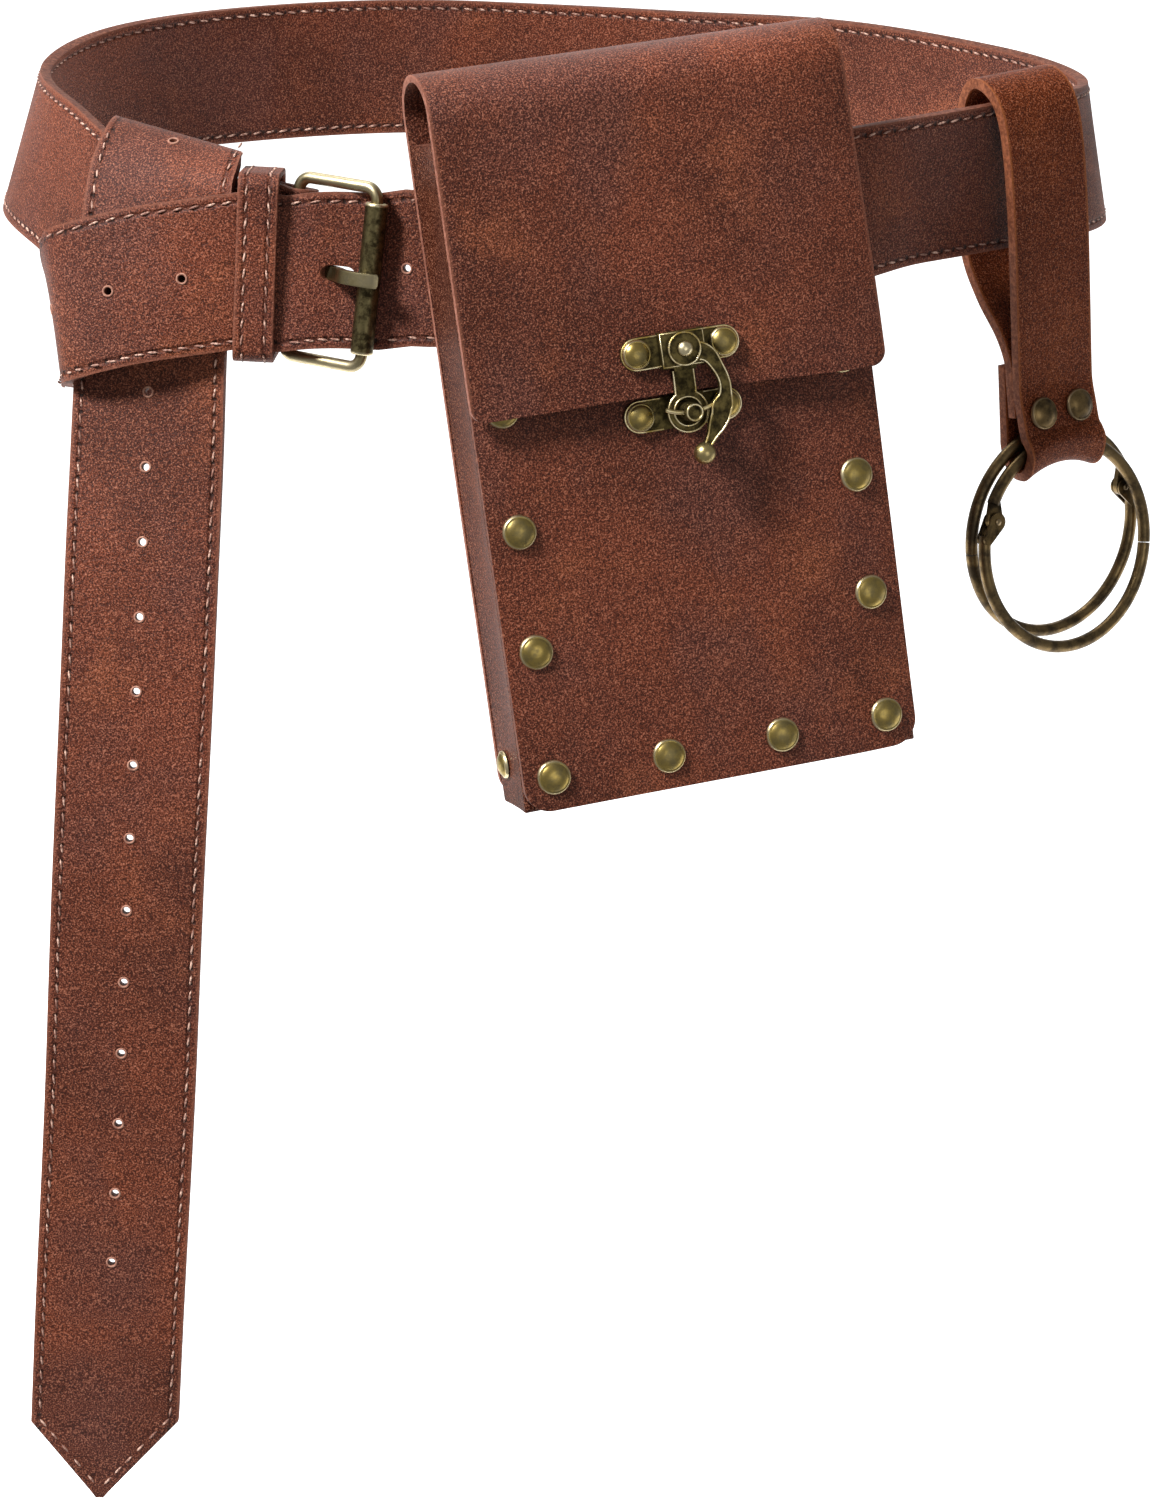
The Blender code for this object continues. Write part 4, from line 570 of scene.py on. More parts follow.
def buckle_stations():
    """Behind the roller and out over the heel bar."""
    stations = []
    steps = 3
    for i in range(steps * (len(BEHIND_ROLLER_ROWS) - 1) + 1):
        share, layers, down = smooth(BEHIND_ROLLER_ROWS, i / steps)
        centre, _, out, up = belt_at(belt_length() - share * BUCKLE_SPAN - 1e-6)
        centre = centre + out * layers * (BELT_THICK + LAYER_GAP) - up * down * BELT_WIDTH
        stations.append((centre, -up))
    return stations


def knot_place():
    place = belt_centre(KNOT_BEARING)
    place.z = -KNOT_DROP * BELT_WIDTH
    return place


def tongue_stations():
    stations = []
    steps = 5 * (len(TONGUE_ROWS) - 1)
    for i in range(steps + 1):
        row = smooth(TONGUE_ROWS, (len(TONGUE_ROWS) - 1) * i / steps)
        centres = knot_place() + Vector(row[:3]) * BELT_WIDTH
        stations.append((centres, Vector(row[3:6]), row[6]))
    return stations


def belt_strap_sections():
    stations = fold_stations() + loop_stations() + buckle_stations()
    stations = [(centre, across, 1.0) for centre, across in stations] + tongue_stations()
    halves = [0.5 * BELT_WIDTH * width for _, _, width in stations]
    return strip_sections([s[0] for s in stations], [s[1].normalized() for s in stations], halves)


def hanging_sections():
    centres, across, halves = [], [], []
    last = len(HANGING_ROWS) - 1
    for i in range(5 * last + 1):
        row = smooth(HANGING_ROWS, i / 5)
        angle = math.radians(row[3])
        centres.append(knot_place() + Vector(row[:3]) * BELT_WIDTH)
        across.append(Vector((math.cos(angle), math.sin(angle), row[4])))
        halves.append(0.5 * BELT_WIDTH)
    shoulder = centres[-1]
    tip = knot_place() + Vector(HANGING_POINT) * BELT_WIDTH
    for way, width in POINT_ROWS:
        centres.append(shoulder.lerp(tip, way))
        across.append(across[-1])
        halves.append(0.5 * BELT_WIDTH * width)
    return strip_sections(centres, across, halves)


def keeper_box():
    """Middle of the keeper and half its depth and height, round the buckle end and the tongue."""
    centre, _, out, _ = belt_at(FOLD_TAIL)
    tail = centre - out * 2 * heel_radius()
    tongue = knot_place() + Vector(TONGUE_ROWS[0][:3]) * BELT_WIDTH
    room = 0.5 * BELT_THICK + KEEPER_ROOM + 0.5 * KEEPER_THICK
    front = tongue.y - room - 0.6 * KEEPER_ROOM
    back = tail.y + room + BUCKLE_END_LEAN * BELT_WIDTH
    heel = buckle_matrix().translation
    low = tongue.z - 0.555 * BELT_WIDTH - KEEPER_ROOM - 0.5 * KEEPER_THICK
    high = centre.z + 0.51 * BELT_WIDTH + KEEPER_ROOM + 0.5 * KEEPER_THICK
    x = heel.x - BUCKLE_WIRE - KEEPER_OFF_HEEL - 0.5 * KEEPER_WIDTH
    middle = Vector((x, 0.5 * (front + back), 0.5 * (low + high)))
    return middle, 0.5 * (back - front), 0.5 * (high - low)


def rounded_rectangle(half_a, half_b, corner, steps):
    """Points and outward directions round a rectangle with round corners."""
    found = []
    for quarter in range(4):
        sign_a = 1 if quarter in (0, 3) else -1
        sign_b = 1 if quarter in (0, 1) else -1
        centre = ((half_a - corner) * sign_a, (half_b - corner) * sign_b)
        for i in range(steps + 1):
            angle = 0.5 * math.pi * (quarter + i / steps)
            normal = (math.cos(angle), math.sin(angle))
            found.append(((centre[0] + corner * normal[0], centre[1] + corner * normal[1]), normal))
    return found


def buckle_matrix():
    """Heel bar at the origin, x towards the roller, y inwards through the frame, z up."""
    centre, _, _, up = heel_axis()
    spot, _, roller_out, _ = belt_at(belt_length() - 0.96 * BUCKLE_SPAN)
    roller = spot + roller_out * (0.5 * BELT_THICK + 2.7 * LAYER_GAP + ROLLER_RADIUS)
    roll = math.radians(BUCKLE_ROLL)
    level = (roller - centre - up * (roller - centre).dot(up)).normalized()
    x = level * math.cos(roll) - up * math.sin(roll)
    upright = (up * math.cos(roll) + level * math.sin(roll)).normalized()
    y = upright.cross(x).normalized()
    return place_matrix(centre - up * BUCKLE_DROP, x, y, upright)


def buckle_half_height():
    return 0.5 * BELT_WIDTH + BUCKLE_SIDE_ROOM + BUCKLE_WIRE


def front_panel_y():
    return 0.5 * POUCH_THICK


def back_panel_y():
    return POUCH_DEPTH - 0.5 * POUCH_THICK


def edge_rivet_places():
    """Rivets down both sides of the front and along its bottom."""
    side = 0.5 * POUCH_WIDTH - RIVET_INSET
    places = [(x, -share * POUCH_HEIGHT) for share in SIDE_RIVET_ROWS for x in (-side, side)]
    low = -SIDE_RIVET_ROWS[0] * POUCH_HEIGHT
    return places + [(share * POUCH_WIDTH, low) for share in BOTTOM_RIVET_ROW]


def back_rivet_places():
    low = -SIDE_RIVET_ROWS[0] * POUCH_HEIGHT
    side = 0.5 * POUCH_WIDTH - RIVET_INSET
    heights = (low, 0.5 * (low - RIVET_INSET), -RIVET_INSET - MOUTH_DROP)
    return [(x, z) for z in heights for x in (-side, side)]


def gusset_span():
    """Front and back faces of the gusset, in the pouch's depth."""
    return POUCH_THICK + PIECE_GAP, POUCH_DEPTH - POUCH_THICK - PIECE_GAP


def side_rivet_places():
    """One rivet low on each side wall, near the back."""
    return [(side, 0.68 * POUCH_DEPTH, -0.94 * POUCH_HEIGHT) for side in (-1, 1)]


def flap_mid_y():
    return -FLAP_STAND_OFF - 0.5 * POUCH_THICK


def loop_stand_off():
    """From the back panel to the middle of a loop's leather where it passes over the belt."""
    return BELT_OFF_POUCH + BELT_THICK + BACK_LOOP_ROOM + 0.5 * BACK_LOOP_THICK


def loop_rivet_places():
    high = loop_reach() + 0.58 * BACK_LOOP_TAB
    heights = (high - BELT_BELOW_MOUTH, -high - BELT_BELOW_MOUTH)
    return [(side * 0.5 * BACK_LOOP_APART, z) for side in (-1, 1) for z in heights]


def loop_reach():
    """Half the height of a loop's opening, from the belt's middle."""
    return 0.5 * BELT_WIDTH + 2 * BACK_LOOP_ROOM + BACK_LOOP_THICK


def clasp_pivot_z():
    return -FLAP_DROP + CLASP_ABOVE_FLAP_EDGE


def clasp_post_z():
    return clasp_pivot_z() - CLASP_REACH


def flap_face_y():
    return flap_mid_y() - 0.5 * POUCH_THICK


def upper_plate_rivets():
    return [(CLASP_X + side * CLASP_RIVET_OFF, clasp_pivot_z()) for side in (-1, 1)]


def lower_plate_rivets():
    return [(CLASP_X + side * CLASP_RIVET_OFF, clasp_post_z()) for side in (-1, 1)]


def plate_faces(y_leather):
    """Outer and inner faces of a plate that lies on leather."""
    inner = y_leather - PIECE_GAP
    return inner - CLASP_PLATE_THICK, inner


def bridge_top_y():
    return plate_faces(flap_face_y())[0] - CLASP_BRIDGE_RISE


def lever_mid_y():
    return bridge_top_y() - PIECE_GAP - 0.5 * LEVER_THICK


def hanger_matrix():
    """Origin on the belt's middle line, x along the strap's width, y inwards, z up its length."""
    centre = belt_centre(HANGER_BEARING)
    turn = Matrix.Rotation(math.radians(HANGER_TURN), 4, "Z")
    lean = Matrix.Rotation(-math.radians(HANGER_LEAN), 4, "Y")
    return Matrix.Translation(centre) @ turn @ lean @ Matrix.Translation((HANGER_SHIFT, 0, 0))


def hanger_point(out, down):
    return Vector((0, -out * HANGER_FRONT, -down * HANGER_DROP))


def hanger_rivet_face():
    """How far in front of the belt's middle line the strap's face lies under the rivets."""
    return 1.11 * HANGER_FRONT + 0.58 * HANGER_THICK


def hanger_rivet_places():
    """Where the rivets' heads sit on the strap's front, which slopes outwards to the fold."""
    tilt = Matrix.Rotation(math.radians(HANGER_RIVET_TILT), 4, "X")
    z = HANGER_RIVET_UP - HANGER_DROP
    spots = [Vector((side * HANGER_RIVET_OFF, -hanger_rivet_face(), z)) for side in (-1, 1)]
    return [Matrix.Translation(spot) @ tilt for spot in spots]


def ring_spot(angle, radius=RING_RADIUS):
    angle = math.radians(angle)
    return Vector((radius * math.cos(angle), 0, radius * math.sin(angle)))


def hinge_spot():
    return ring_spot(HINGE_ANGLE, RING_RADIUS - HINGE_INSET)


def ring_hang():
    """From the wire in the middle of the leaning fold to the ring's centre, straight below its top."""
    lean = math.radians(HANGER_LEAN)
    return Vector((math.sin(lean), 0, -math.cos(lean))) * RING_RADIUS


def ring_swing_matrix(hanger, out, up, splay):
    """Where a ring's wire crosses the middle of the fold, turned to the ring's own plane."""
    fold = hanger_point(HANGER_ROWS[5][0], HANGER_ROWS[5][1])
    lift = FOLD_ARCH + 0.5 * HANGER_THICK + RING_LIFT + RING_WIRE
    spot = hanger @ (fold + Vector((0, RING_BACK - out, lift + up)))
    turn = Matrix.Rotation(math.radians(RING_TURN), 4, "Z")
    return Matrix.Translation(spot) @ turn @ Matrix.Rotation(math.radians(splay), 4, "X")


def prong_sections():
    eye_inner = BUCKLE_WIRE + 1.4 * PIECE_GAP
    eye_outer = eye_inner + PRONG_EYE_WALL
    top = ROLLER_RADIUS + 1.5 * PIECE_GAP + 0.5 * PRONG_THICK
    # share of the span, shift outwards
    rows = (
        (0.5 * (eye_inner + eye_outer) / BUCKLE_SPAN, 0.0),
        (0.30, 0.0),
        (0.50, 0.04 * top),
        (0.63, 0.36 * top),
        (0.75, 0.86 * top),
        (0.86, 1.04 * top),
        (1.00, 1.02 * top),
        (1.12, 0.84 * top),
        (1.18, 0.62 * top),
    )
    centres, across, halves = [], [], []
    steps = 5
    for i in range(steps * (len(rows) - 1) + 1):
        share, out = smooth(rows, i / steps)
        centres.append(Vector((share * BUCKLE_SPAN, -out, 0)))
        across.append(Vector((0, 0, 1)))
        halves.append(0.5 * PRONG_WIDTH)
    halves[-1] = 0.3 * PRONG_WIDTH
    return strip_sections(centres, across, halves)


def hanger_grip():
    """From the strap's front to the back of its short end, along the tilted rivets."""
    grip = hanger_rivet_face() - HANGER_ROWS[0][0] * HANGER_FRONT + 0.5 * HANGER_THICK
    tilt = math.radians(abs(HANGER_RIVET_TILT))
    return grip / math.cos(tilt) + RIVET_CAP * math.sin(tilt)


# Shader expressions


class Wire:
    """A shader socket that can be used in sums like a number."""

    def __init__(self, finish, socket):
        self.finish = finish
        self.socket = socket

    def math(self, operation, first, second=0.0):
        return self.finish.math(operation, first, second)

    def __add__(self, other):
        return self.math("ADD", self, other)

    def __radd__(self, other):
        return self.math("ADD", other, self)

    def __sub__(self, other):
        return self.math("SUBTRACT", self, other)

    def __rsub__(self, other):
        return self.math("SUBTRACT", other, self)

    def __mul__(self, other):
        return self.math("MULTIPLY", self, other)

    def __rmul__(self, other):
        return self.math("MULTIPLY", other, self)

    def __abs__(self):
        return self.math("ABSOLUTE", self)


class Finish:
    """A procedural material, built up node by node."""

    def __init__(self, name):
        self.material = bpy.data.materials.new(name)
        self.material.use_nodes = True
        self.tree = self.material.node_tree
        self.shader = self.tree.nodes["Principled BSDF"]

    def node(self, kind, settings=None, sockets=None, out=0):
        made = self.tree.nodes.new(kind)
        for key, value in (settings or {}).items():
            setattr(made, key, value)
        for key, value in (sockets or {}).items():
            self.feed(made.inputs[key], value)
        return Wire(self, made.outputs[out])

    def feed(self, socket, value):
        if isinstance(value, Wire):
            self.tree.links.new(value.socket, socket)
        elif socket.type == "RGBA" and len(value) == 3:
            socket.default_value = (*value, 1.0)
        else:
            socket.default_value = value

    def place(self):
        return self.node("ShaderNodeTexCoord", out=3)

    def lay(self):
        """The piece's own map: across and along in metres."""
        flat = self.node("ShaderNodeUVMap", {"uv_map": "lay"})
        return [self.node("ShaderNodeSeparateXYZ", None, {0: flat}, out=k) for k in (0, 1)]

    def noise(self, scale, detail=2.0, rough=0.5, place=None, out=0):
        sockets = {"Scale": scale, "Detail": detail, "Roughness": rough}
        sockets["Vector"] = place or self.place()
        return self.node("ShaderNodeTexNoise", None, sockets, out)

    def cells(self, scale, feature="F1", place=None):
        sockets = {"Scale": scale, "Vector": place or self.place()}
        return self.node("ShaderNodeTexVoronoi", {"feature": feature}, sockets)

    def steps(self, value, low, high):
        """0 below the low value, 1 above the high one."""
        sockets = {"Value": value, "From Min": low, "From Max": high}
        return self.node("ShaderNodeMapRange", {"interpolation_type": "SMOOTHSTEP"}, sockets)

    def blend(self, share, first, second):
        return self.node("ShaderNodeMix", {"data_type": "RGBA"}, {0: share, 6: first, 7: second}, 2)

    def scaled(self, place, scale):
        return self.node("ShaderNodeMapping", None, {"Vector": place, "Scale": scale})

    def math(self, operation, first, second=0.0):
        return self.node("ShaderNodeMath", {"operation": operation}, {0: first, 1: second})

    def bump(self, height, strength, distance):
        sockets = {"Height": height, "Strength": strength, "Distance": distance}
        return self.node("ShaderNodeBump", None, sockets)

    def wear(self):
        return self.node("ShaderNodeAttribute", {"attribute_name": "wear"}, None, 2)

    def done(self, **sockets):
        for name, value in sockets.items():
            self.feed(self.shader.inputs[name.replace("_", " ")], value)
        return self.material


# Finishes


def leather(name, deep, middle, warm, patina, edge, half=None, stitched=True, grain=1.0, gloss=0.2):
    """Waxed leather: mottled colour, fine grain, a painted highlight as a paler band along the face's rims,
    and a pressed line under stitches with painted shade in it and in its needle holes.
    """
    finish = Finish(name)
    place = finish.place()
    cloud = finish.steps(finish.noise(15.0, 4.0, 0.58, place), 0.36, 0.64)
    patch = finish.steps(finish.noise(24.0, 3.0, 0.6, finish.scaled(place, (1.0, 1.0, 0.7))), 0.46, 0.68)
    warmth = finish.steps(finish.noise(38.0, 4.0, 0.6, place), 0.52, 0.74)
    color = finish.blend(cloud, deep, middle)
    color = finish.blend(warmth * 0.75, color, warm)
    color = finish.blend(patch * 0.8, color, patina)
    speckle = finish.noise(GRAIN_SCALE, 2.0, 0.75, place)
    pores = finish.cells(1100.0, "F1", place)
    shade = finish.steps(speckle, 0.40, 0.58)
    dark = finish.blend(0.80, color, (0.010, 0.003, 0.002))
    color = finish.blend(1.0 - shade, color, dark)
    light = finish.blend(0.34, color, (0.80, 0.36, 0.22))
    color = finish.blend(finish.steps(speckle, 0.53, 0.68), color, light)
    height = speckle * 0.8 + pores * 0.5 * grain + finish.noise(210.0, 3.0, 0.6, place) * 0.5
    if half:
        across, along = finish.lay()
        # painted highlight: the face is blended towards a paler colour in a narrow band along each rim
        rim = finish.steps(abs(across), half - RIM_HIGHLIGHT_FAR, half - RIM_HIGHLIGHT_NEAR)
        color = finish.blend(rim * 0.6, color, edge)
        if stitched:
            # painted shade: the pressed stitch line is darkened in colour, and its needle holes are darker
            # still; the same mask also sinks the bump
            line = abs(abs(across) - (half - STITCH_INSET))
            groove_and_shade = 1.0 - finish.steps(line, GROOVE_DEEP, GROOVE_REACH)
            color = finish.blend(groove_and_shade * 0.4, color, (0.03, 0.008, 0.005))
            place_along = finish.math("PINGPONG", (along - STITCH_START), 0.5 * STITCH_STEP)
            hole = groove_and_shade * (1.0 - finish.steps(place_along, STITCH_HOLE_DEEP, STITCH_HOLE_REACH))
            color = finish.blend(hole * 0.85, color, (0.006, 0.002, 0.001))
            height = height - groove_and_shade * 1.0 - hole * 1.0
    roughness = 0.56 - cloud * 0.12 + shade * 0.06
    normal = finish.bump(height, 0.7, 0.0004)
    return finish.done(Base_Color=color, Roughness=roughness, Normal=normal, Specular_IOR_Level=gloss)


def cut_edge(name, color, dark):
    """The pale fibres of a cut edge."""
    finish = Finish(name)
    place = finish.place()
    fibres = finish.noise(900.0, 3.0, 0.65, place)
    tone = finish.blend(finish.steps(fibres, 0.35, 0.7), dark, color)
    tone = finish.blend(finish.steps(finish.noise(60.0, 2.0, 0.5, place), 0.5, 0.75) * 0.5, tone, dark)
    normal = finish.bump(fibres, 0.5, 0.0003)
    return finish.done(Base_Color=tone, Roughness=0.7, Normal=normal, Specular_IOR_Level=0.2)


def thread_finish():
    finish = Finish("waxed_thread")
    place = finish.place()
    # painted highlight: the paler thread tone stands for glints, mixed in along the twist
    twist = finish.noise(1400.0, 2.0, 0.6, place)
    tone = finish.blend(finish.steps(twist, 0.35, 0.65), THREAD_DARK, THREAD_GLINT)
    # painted highlight on some stitches only: this mask dulls the glints on the rest, at random
    dull_stitches = finish.steps(finish.noise(150.0, 3.0, 0.6, place), 0.42, 0.62)
    tone = finish.blend(dull_stitches * 0.75, tone, THREAD_DARK)
    return finish.done(Base_Color=tone, Roughness=0.65, Normal=finish.bump(twist, 0.5, 0.0003))


def old_metal(name, dark, body, bright, blotch=150.0, shine=0.34):
    """Antique plated metal: dark in patches, bright where it is worn."""
    finish = Finish(name)
    place = finish.place()
    stain = finish.steps(finish.noise(blotch, 5.0, 0.65, place), 0.36, 0.66)
    fine = finish.noise(1300.0, 2.0, 0.6, place)
    tone = finish.blend(stain, body, dark)
    tone = finish.blend(finish.steps(fine, 0.5, 0.8) * 0.35, tone, dark)
    tone = finish.blend(finish.wear(), tone, bright)
    rough = shine + stain * 0.16 - finish.wear() * 0.08
    return finish.done(Base_Color=tone, Metallic=1.0, Roughness=rough, Normal=finish.bump(fine, 0.12, 0.0002))


# Painted highlight beside a strap's rim, and painted shade in its stitch groove and needle holes, as
# distances
RIM_HIGHLIGHT_FAR = 1.1 * MM
RIM_HIGHLIGHT_NEAR = 0.2 * MM
GROOVE_DEEP = 0.15 * MM
GROOVE_REACH = 0.95 * MM
STITCH_HOLE_DEEP = 0.2 * MM
STITCH_HOLE_REACH = 0.6 * MM

# Rounding of the rims, as widths
PANEL_ROUND = 0.5 * MM
GUSSET_ROUND = 0.35 * MM
GUSSET_CORNER = 1.8 * MM
KEEPER_ROUND = 0.45 * MM
HANGER_ROUND = 0.8 * MM
PRONG_ROUND = 0.9 * MM
PLATE_ROUND = 0.12 * MM
LEVER_ROUND = 0.14 * MM
KEEPER_STEP = 4 * MM
ROLLER_LIP = 0.35 * MM
PRONG_EYE_WALL = 0.7 * MM
CAP_EDGE = 0.6 * MM
CAP_RISE = 0.8 * MM
MOUTH_CUT_ROOM = 0.2 * MM
GUSSET_CUT_OVER = 8 * MM
GUSSET_PULL_ROOM = 30 * MM
BEND_PROBE = 0.5 * MM
HINGE_PIN_OUT = 0.25 * MM
HINGE_PIN_EDGE = 0.15 * MM

# How far one part of a clasp piece sinks into the next, so that they join
BRIDGE_SINK = 0.1 * MM
NECK_SINK = 0.05 * MM
EYE_SINK = 0.02 * MM
HEAD_RISE = 0.04 * MM
POST_DISH = 1.6 * MM

# Pivot's domed head: share of its radius, rise in millimetres
PIVOT_ROWS = ((0.0, 1.5), (0.35, 1.42), (0.65, 1.15), (0.88, 0.75), (1.0, 0.35), (1.0, 0.0))

RED_DEEP = (0.115, 0.024, 0.010)
RED_MIDDLE = (0.215, 0.049, 0.021)
RED_WARM = (0.310, 0.082, 0.032)
RED_PATINA = (0.140, 0.040, 0.027)
# the next colour is a painted highlight along the red leather's rims
RED_RIM_HIGHLIGHT = (0.24, 0.085, 0.05)
TAN_DEEP = (0.135, 0.024, 0.004)
TAN_MIDDLE = (0.225, 0.044, 0.009)
TAN_WARM = (0.34, 0.082, 0.020)
TAN_PATINA = (0.16, 0.030, 0.007)
# the next colour is a painted highlight along the tan leather's rims
TAN_RIM_HIGHLIGHT = (0.38, 0.12, 0.040)
TAN_FIBRE = (0.30, 0.10, 0.045)
TAN_FIBRE_DARK = (0.12, 0.034, 0.015)
FLAP_FIBRE = (0.42, 0.18, 0.12)
FLAP_FIBRE_DARK = (0.20, 0.07, 0.045)
PALE_FIBRE = (0.24, 0.088, 0.052)
DARK_FIBRE = (0.075, 0.022, 0.013)
HOLE_RIM = (0.50, 0.27, 0.19)
HOLE_RIM_DARK = (0.30, 0.13, 0.09)
THREAD_DARK = (0.20, 0.075, 0.050)
# the next colour is a painted glint on the brown thread
THREAD_GLINT = (0.80, 0.52, 0.40)
BRASS_DARK = (0.030, 0.023, 0.010)
BRASS_BODY = (0.20, 0.155, 0.060)
BRASS_SUNK = (0.125, 0.095, 0.034)
BRASS_GOLD = (0.40, 0.285, 0.075)
BRASS_BRIGHT = (0.90, 0.78, 0.50)
BRONZE_DARK = (0.020, 0.013, 0.007)
ROLLER_DARK = (0.030, 0.022, 0.010)
ROLLER_BODY = (0.16, 0.130, 0.060)
BRONZE_BODY = (0.21, 0.140, 0.058)
BRONZE_BRIGHT = (0.40, 0.30, 0.18)


def make_finishes():
    red = (RED_DEEP, RED_MIDDLE, RED_WARM, RED_PATINA, RED_RIM_HIGHLIGHT)
    # painted shade: the gusset's leather is a darker copy of the red leather
    shaded = [tuple(GUSSET_SHADE * part for part in color) for color in red]
    tan = (TAN_DEEP, TAN_MIDDLE, TAN_WARM, TAN_PATINA, TAN_RIM_HIGHLIGHT)
    finishes = {
        "belt": leather("belt_leather", *red, half=0.5 * BELT_WIDTH),
        "pouch": leather("pouch_leather", *red, half=None, stitched=False),
        "gusset": leather("shaded_gusset_leather", *shaded, half=None, stitched=False, gloss=0.05),
        "flap_edge": cut_edge("flap_cut_edge", FLAP_FIBRE, FLAP_FIBRE_DARK),
        "flap": leather("flap_leather", *red, half=0.5 * FLAP_WIDTH, stitched=False),
        "keeper": leather("keeper_leather", *red, half=0.5 * KEEPER_WIDTH),
        "hanger": leather(
            "hanger_leather", *tan, half=0.5 * HANGER_WIDTH, stitched=False, grain=1.3, gloss=0.1
        ),
        "edge": cut_edge("cut_edge", PALE_FIBRE, DARK_FIBRE),
        "hanger_edge": cut_edge("hanger_cut_edge", TAN_FIBRE, TAN_FIBRE_DARK),
        "hole_rim": cut_edge("punched_rim", HOLE_RIM, HOLE_RIM_DARK),
        "thread": thread_finish(),
        "brass": old_metal("antique_brass", BRASS_DARK, BRASS_BODY, BRASS_BRIGHT),
        "brass_dark": old_metal("sunk_brass", BRASS_DARK, BRASS_SUNK, BRASS_BODY, 420.0, 0.44),
        "roller": old_metal("roller_bronze", ROLLER_DARK, ROLLER_BODY, BRASS_BRIGHT, 500.0, 0.40),
        "brass_gold": old_metal("rubbed_brass", BRASS_BODY, BRASS_GOLD, BRASS_BRIGHT, 300.0, 0.30),
        "brass_rim": old_metal("worn_brass_rim", BRASS_GOLD, BRASS_BRIGHT, BRASS_BRIGHT, shine=0.26),
        "bronze": old_metal("dark_bronze", BRONZE_DARK, BRONZE_BODY, BRONZE_BRIGHT),
        "bronze_rim": old_metal("worn_bronze_rim", BRONZE_BODY, BRONZE_BRIGHT, BRONZE_BRIGHT, shine=0.28),
    }
    return finishes


# Making pieces


def add_mesh(name, bm, finishes):
    mesh = bpy.data.meshes.new(name)
    bm.normal_update()
    bm.to_mesh(mesh)
    bm.free()
    for finish in finishes:
        mesh.materials.append(finish)
    made = bpy.data.objects.new(name, mesh)
    bpy.context.scene.collection.objects.link(made)
    return made


def settle(made):
    """Turns a piece's modifiers into its mesh."""
    bpy.context.view_layer.update()
    graph = bpy.context.evaluated_depsgraph_get()
    mesh = bpy.data.meshes.new_from_object(made.evaluated_get(graph))
    made.modifiers.clear()
    made.data = mesh
    mesh.transform(made.matrix_world)
    made.matrix_world = Matrix.Identity(4)


def soften(made, angle=40.0):
    for polygon in made.data.polygons:
        polygon.use_smooth = True
    made.data.set_sharp_from_angle(angle=math.radians(angle))


def round_edges(made, width, segments=3, angle=38.0):
    bevel = made.modifiers.new("edges", "BEVEL")
    bevel.width = width
    bevel.segments = segments
    bevel.limit_method = "ANGLE"
    bevel.angle_limit = math.radians(angle)
    bevel.use_clamp_overlap = True
    settle(made)
    soften(made)


def combine(made, bm, operation, finishes=(), place=None):
    """Joins or cuts a piece with the closed shapes in a mesh."""
    other = add_mesh("tool", bm, finishes)
    if place:
        other.data.transform(place)
    modifier = made.modifiers.new("tool", "BOOLEAN")
    modifier.object = other
    modifier.operation = operation
    modifier.solver = "EXACT"
    settle(made)
    bpy.data.objects.remove(other, do_unlink=True)


def ride_along(made, body):
    """Hands a small finishing piece to the body that carries it."""
    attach(made, body)


def put(made, body, slot, *nodes):
    """Hands a finished piece to its body, in place of the solids that it stands for."""
    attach(made, body)
    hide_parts(*nodes)
    return made


def rod(bm, matrix, radius, length, sides=32):
    bmesh.ops.create_cone(
        bm, cap_ends=True, segments=sides, radius1=radius, radius2=radius, depth=length, matrix=matrix
    )


def block(bm, low, high):
    centre = (Vector(low) + Vector(high)) / 2
    size = Vector(high) - Vector(low)
    matrix = Matrix.Translation(centre) @ Matrix.Diagonal((size.x, size.y, size.z, 1.0))
    return bmesh.ops.create_cube(bm, size=1.0, matrix=matrix)["verts"]


def bore(made, place, radius, length, sides, finishes):
    """Cuts a round hole through a piece."""
    bm = bmesh.new()
    rod(bm, place, radius, length, sides)
    combine(made, bm, "DIFFERENCE", finishes)


def join_rod(made, place, radius, length, sides, finishes):
    """Adds a round post or disc to a piece."""
    bm = bmesh.new()
    rod(bm, place, radius, length, sides)
    combine(made, bm, "UNION", finishes)


def join_block(made, low, high, finishes):
    bm = bmesh.new()
    block(bm, low, high)
    combine(made, bm, "UNION", finishes)


def cut_block(made, low, high, finishes):
    bm = bmesh.new()
    block(bm, low, high)
    combine(made, bm, "DIFFERENCE", finishes)


def hull(bm, rounds, low, high, sides=32):
    """The closed shape round several discs, given as (x, z, radius), between two depths."""
    turn = Matrix.Rotation(0.5 * math.pi, 4, "X")
    for x, z, radius in rounds:
        for y in (low, high):
            place = Matrix.Translation((x, y, z)) @ turn
            bmesh.ops.create_circle(bm, segments=sides, radius=radius, matrix=place)
    found = bmesh.ops.convex_hull(bm, input=bm.verts)
    left = found["geom_interior"] + found["geom_unused"]
    spare = {item for item in left if isinstance(item, bmesh.types.BMVert)}
    bmesh.ops.delete(bm, geom=list(spare), context="VERTS")
    loose = [edge for edge in bm.edges if not edge.link_faces]
    bmesh.ops.delete(bm, geom=loose, context="EDGES")
    bmesh.ops.dissolve_limit(bm, angle_limit=0.01, verts=bm.verts, edges=bm.edges)
    bmesh.ops.recalc_face_normals(bm, faces=bm.faces)
    return bm


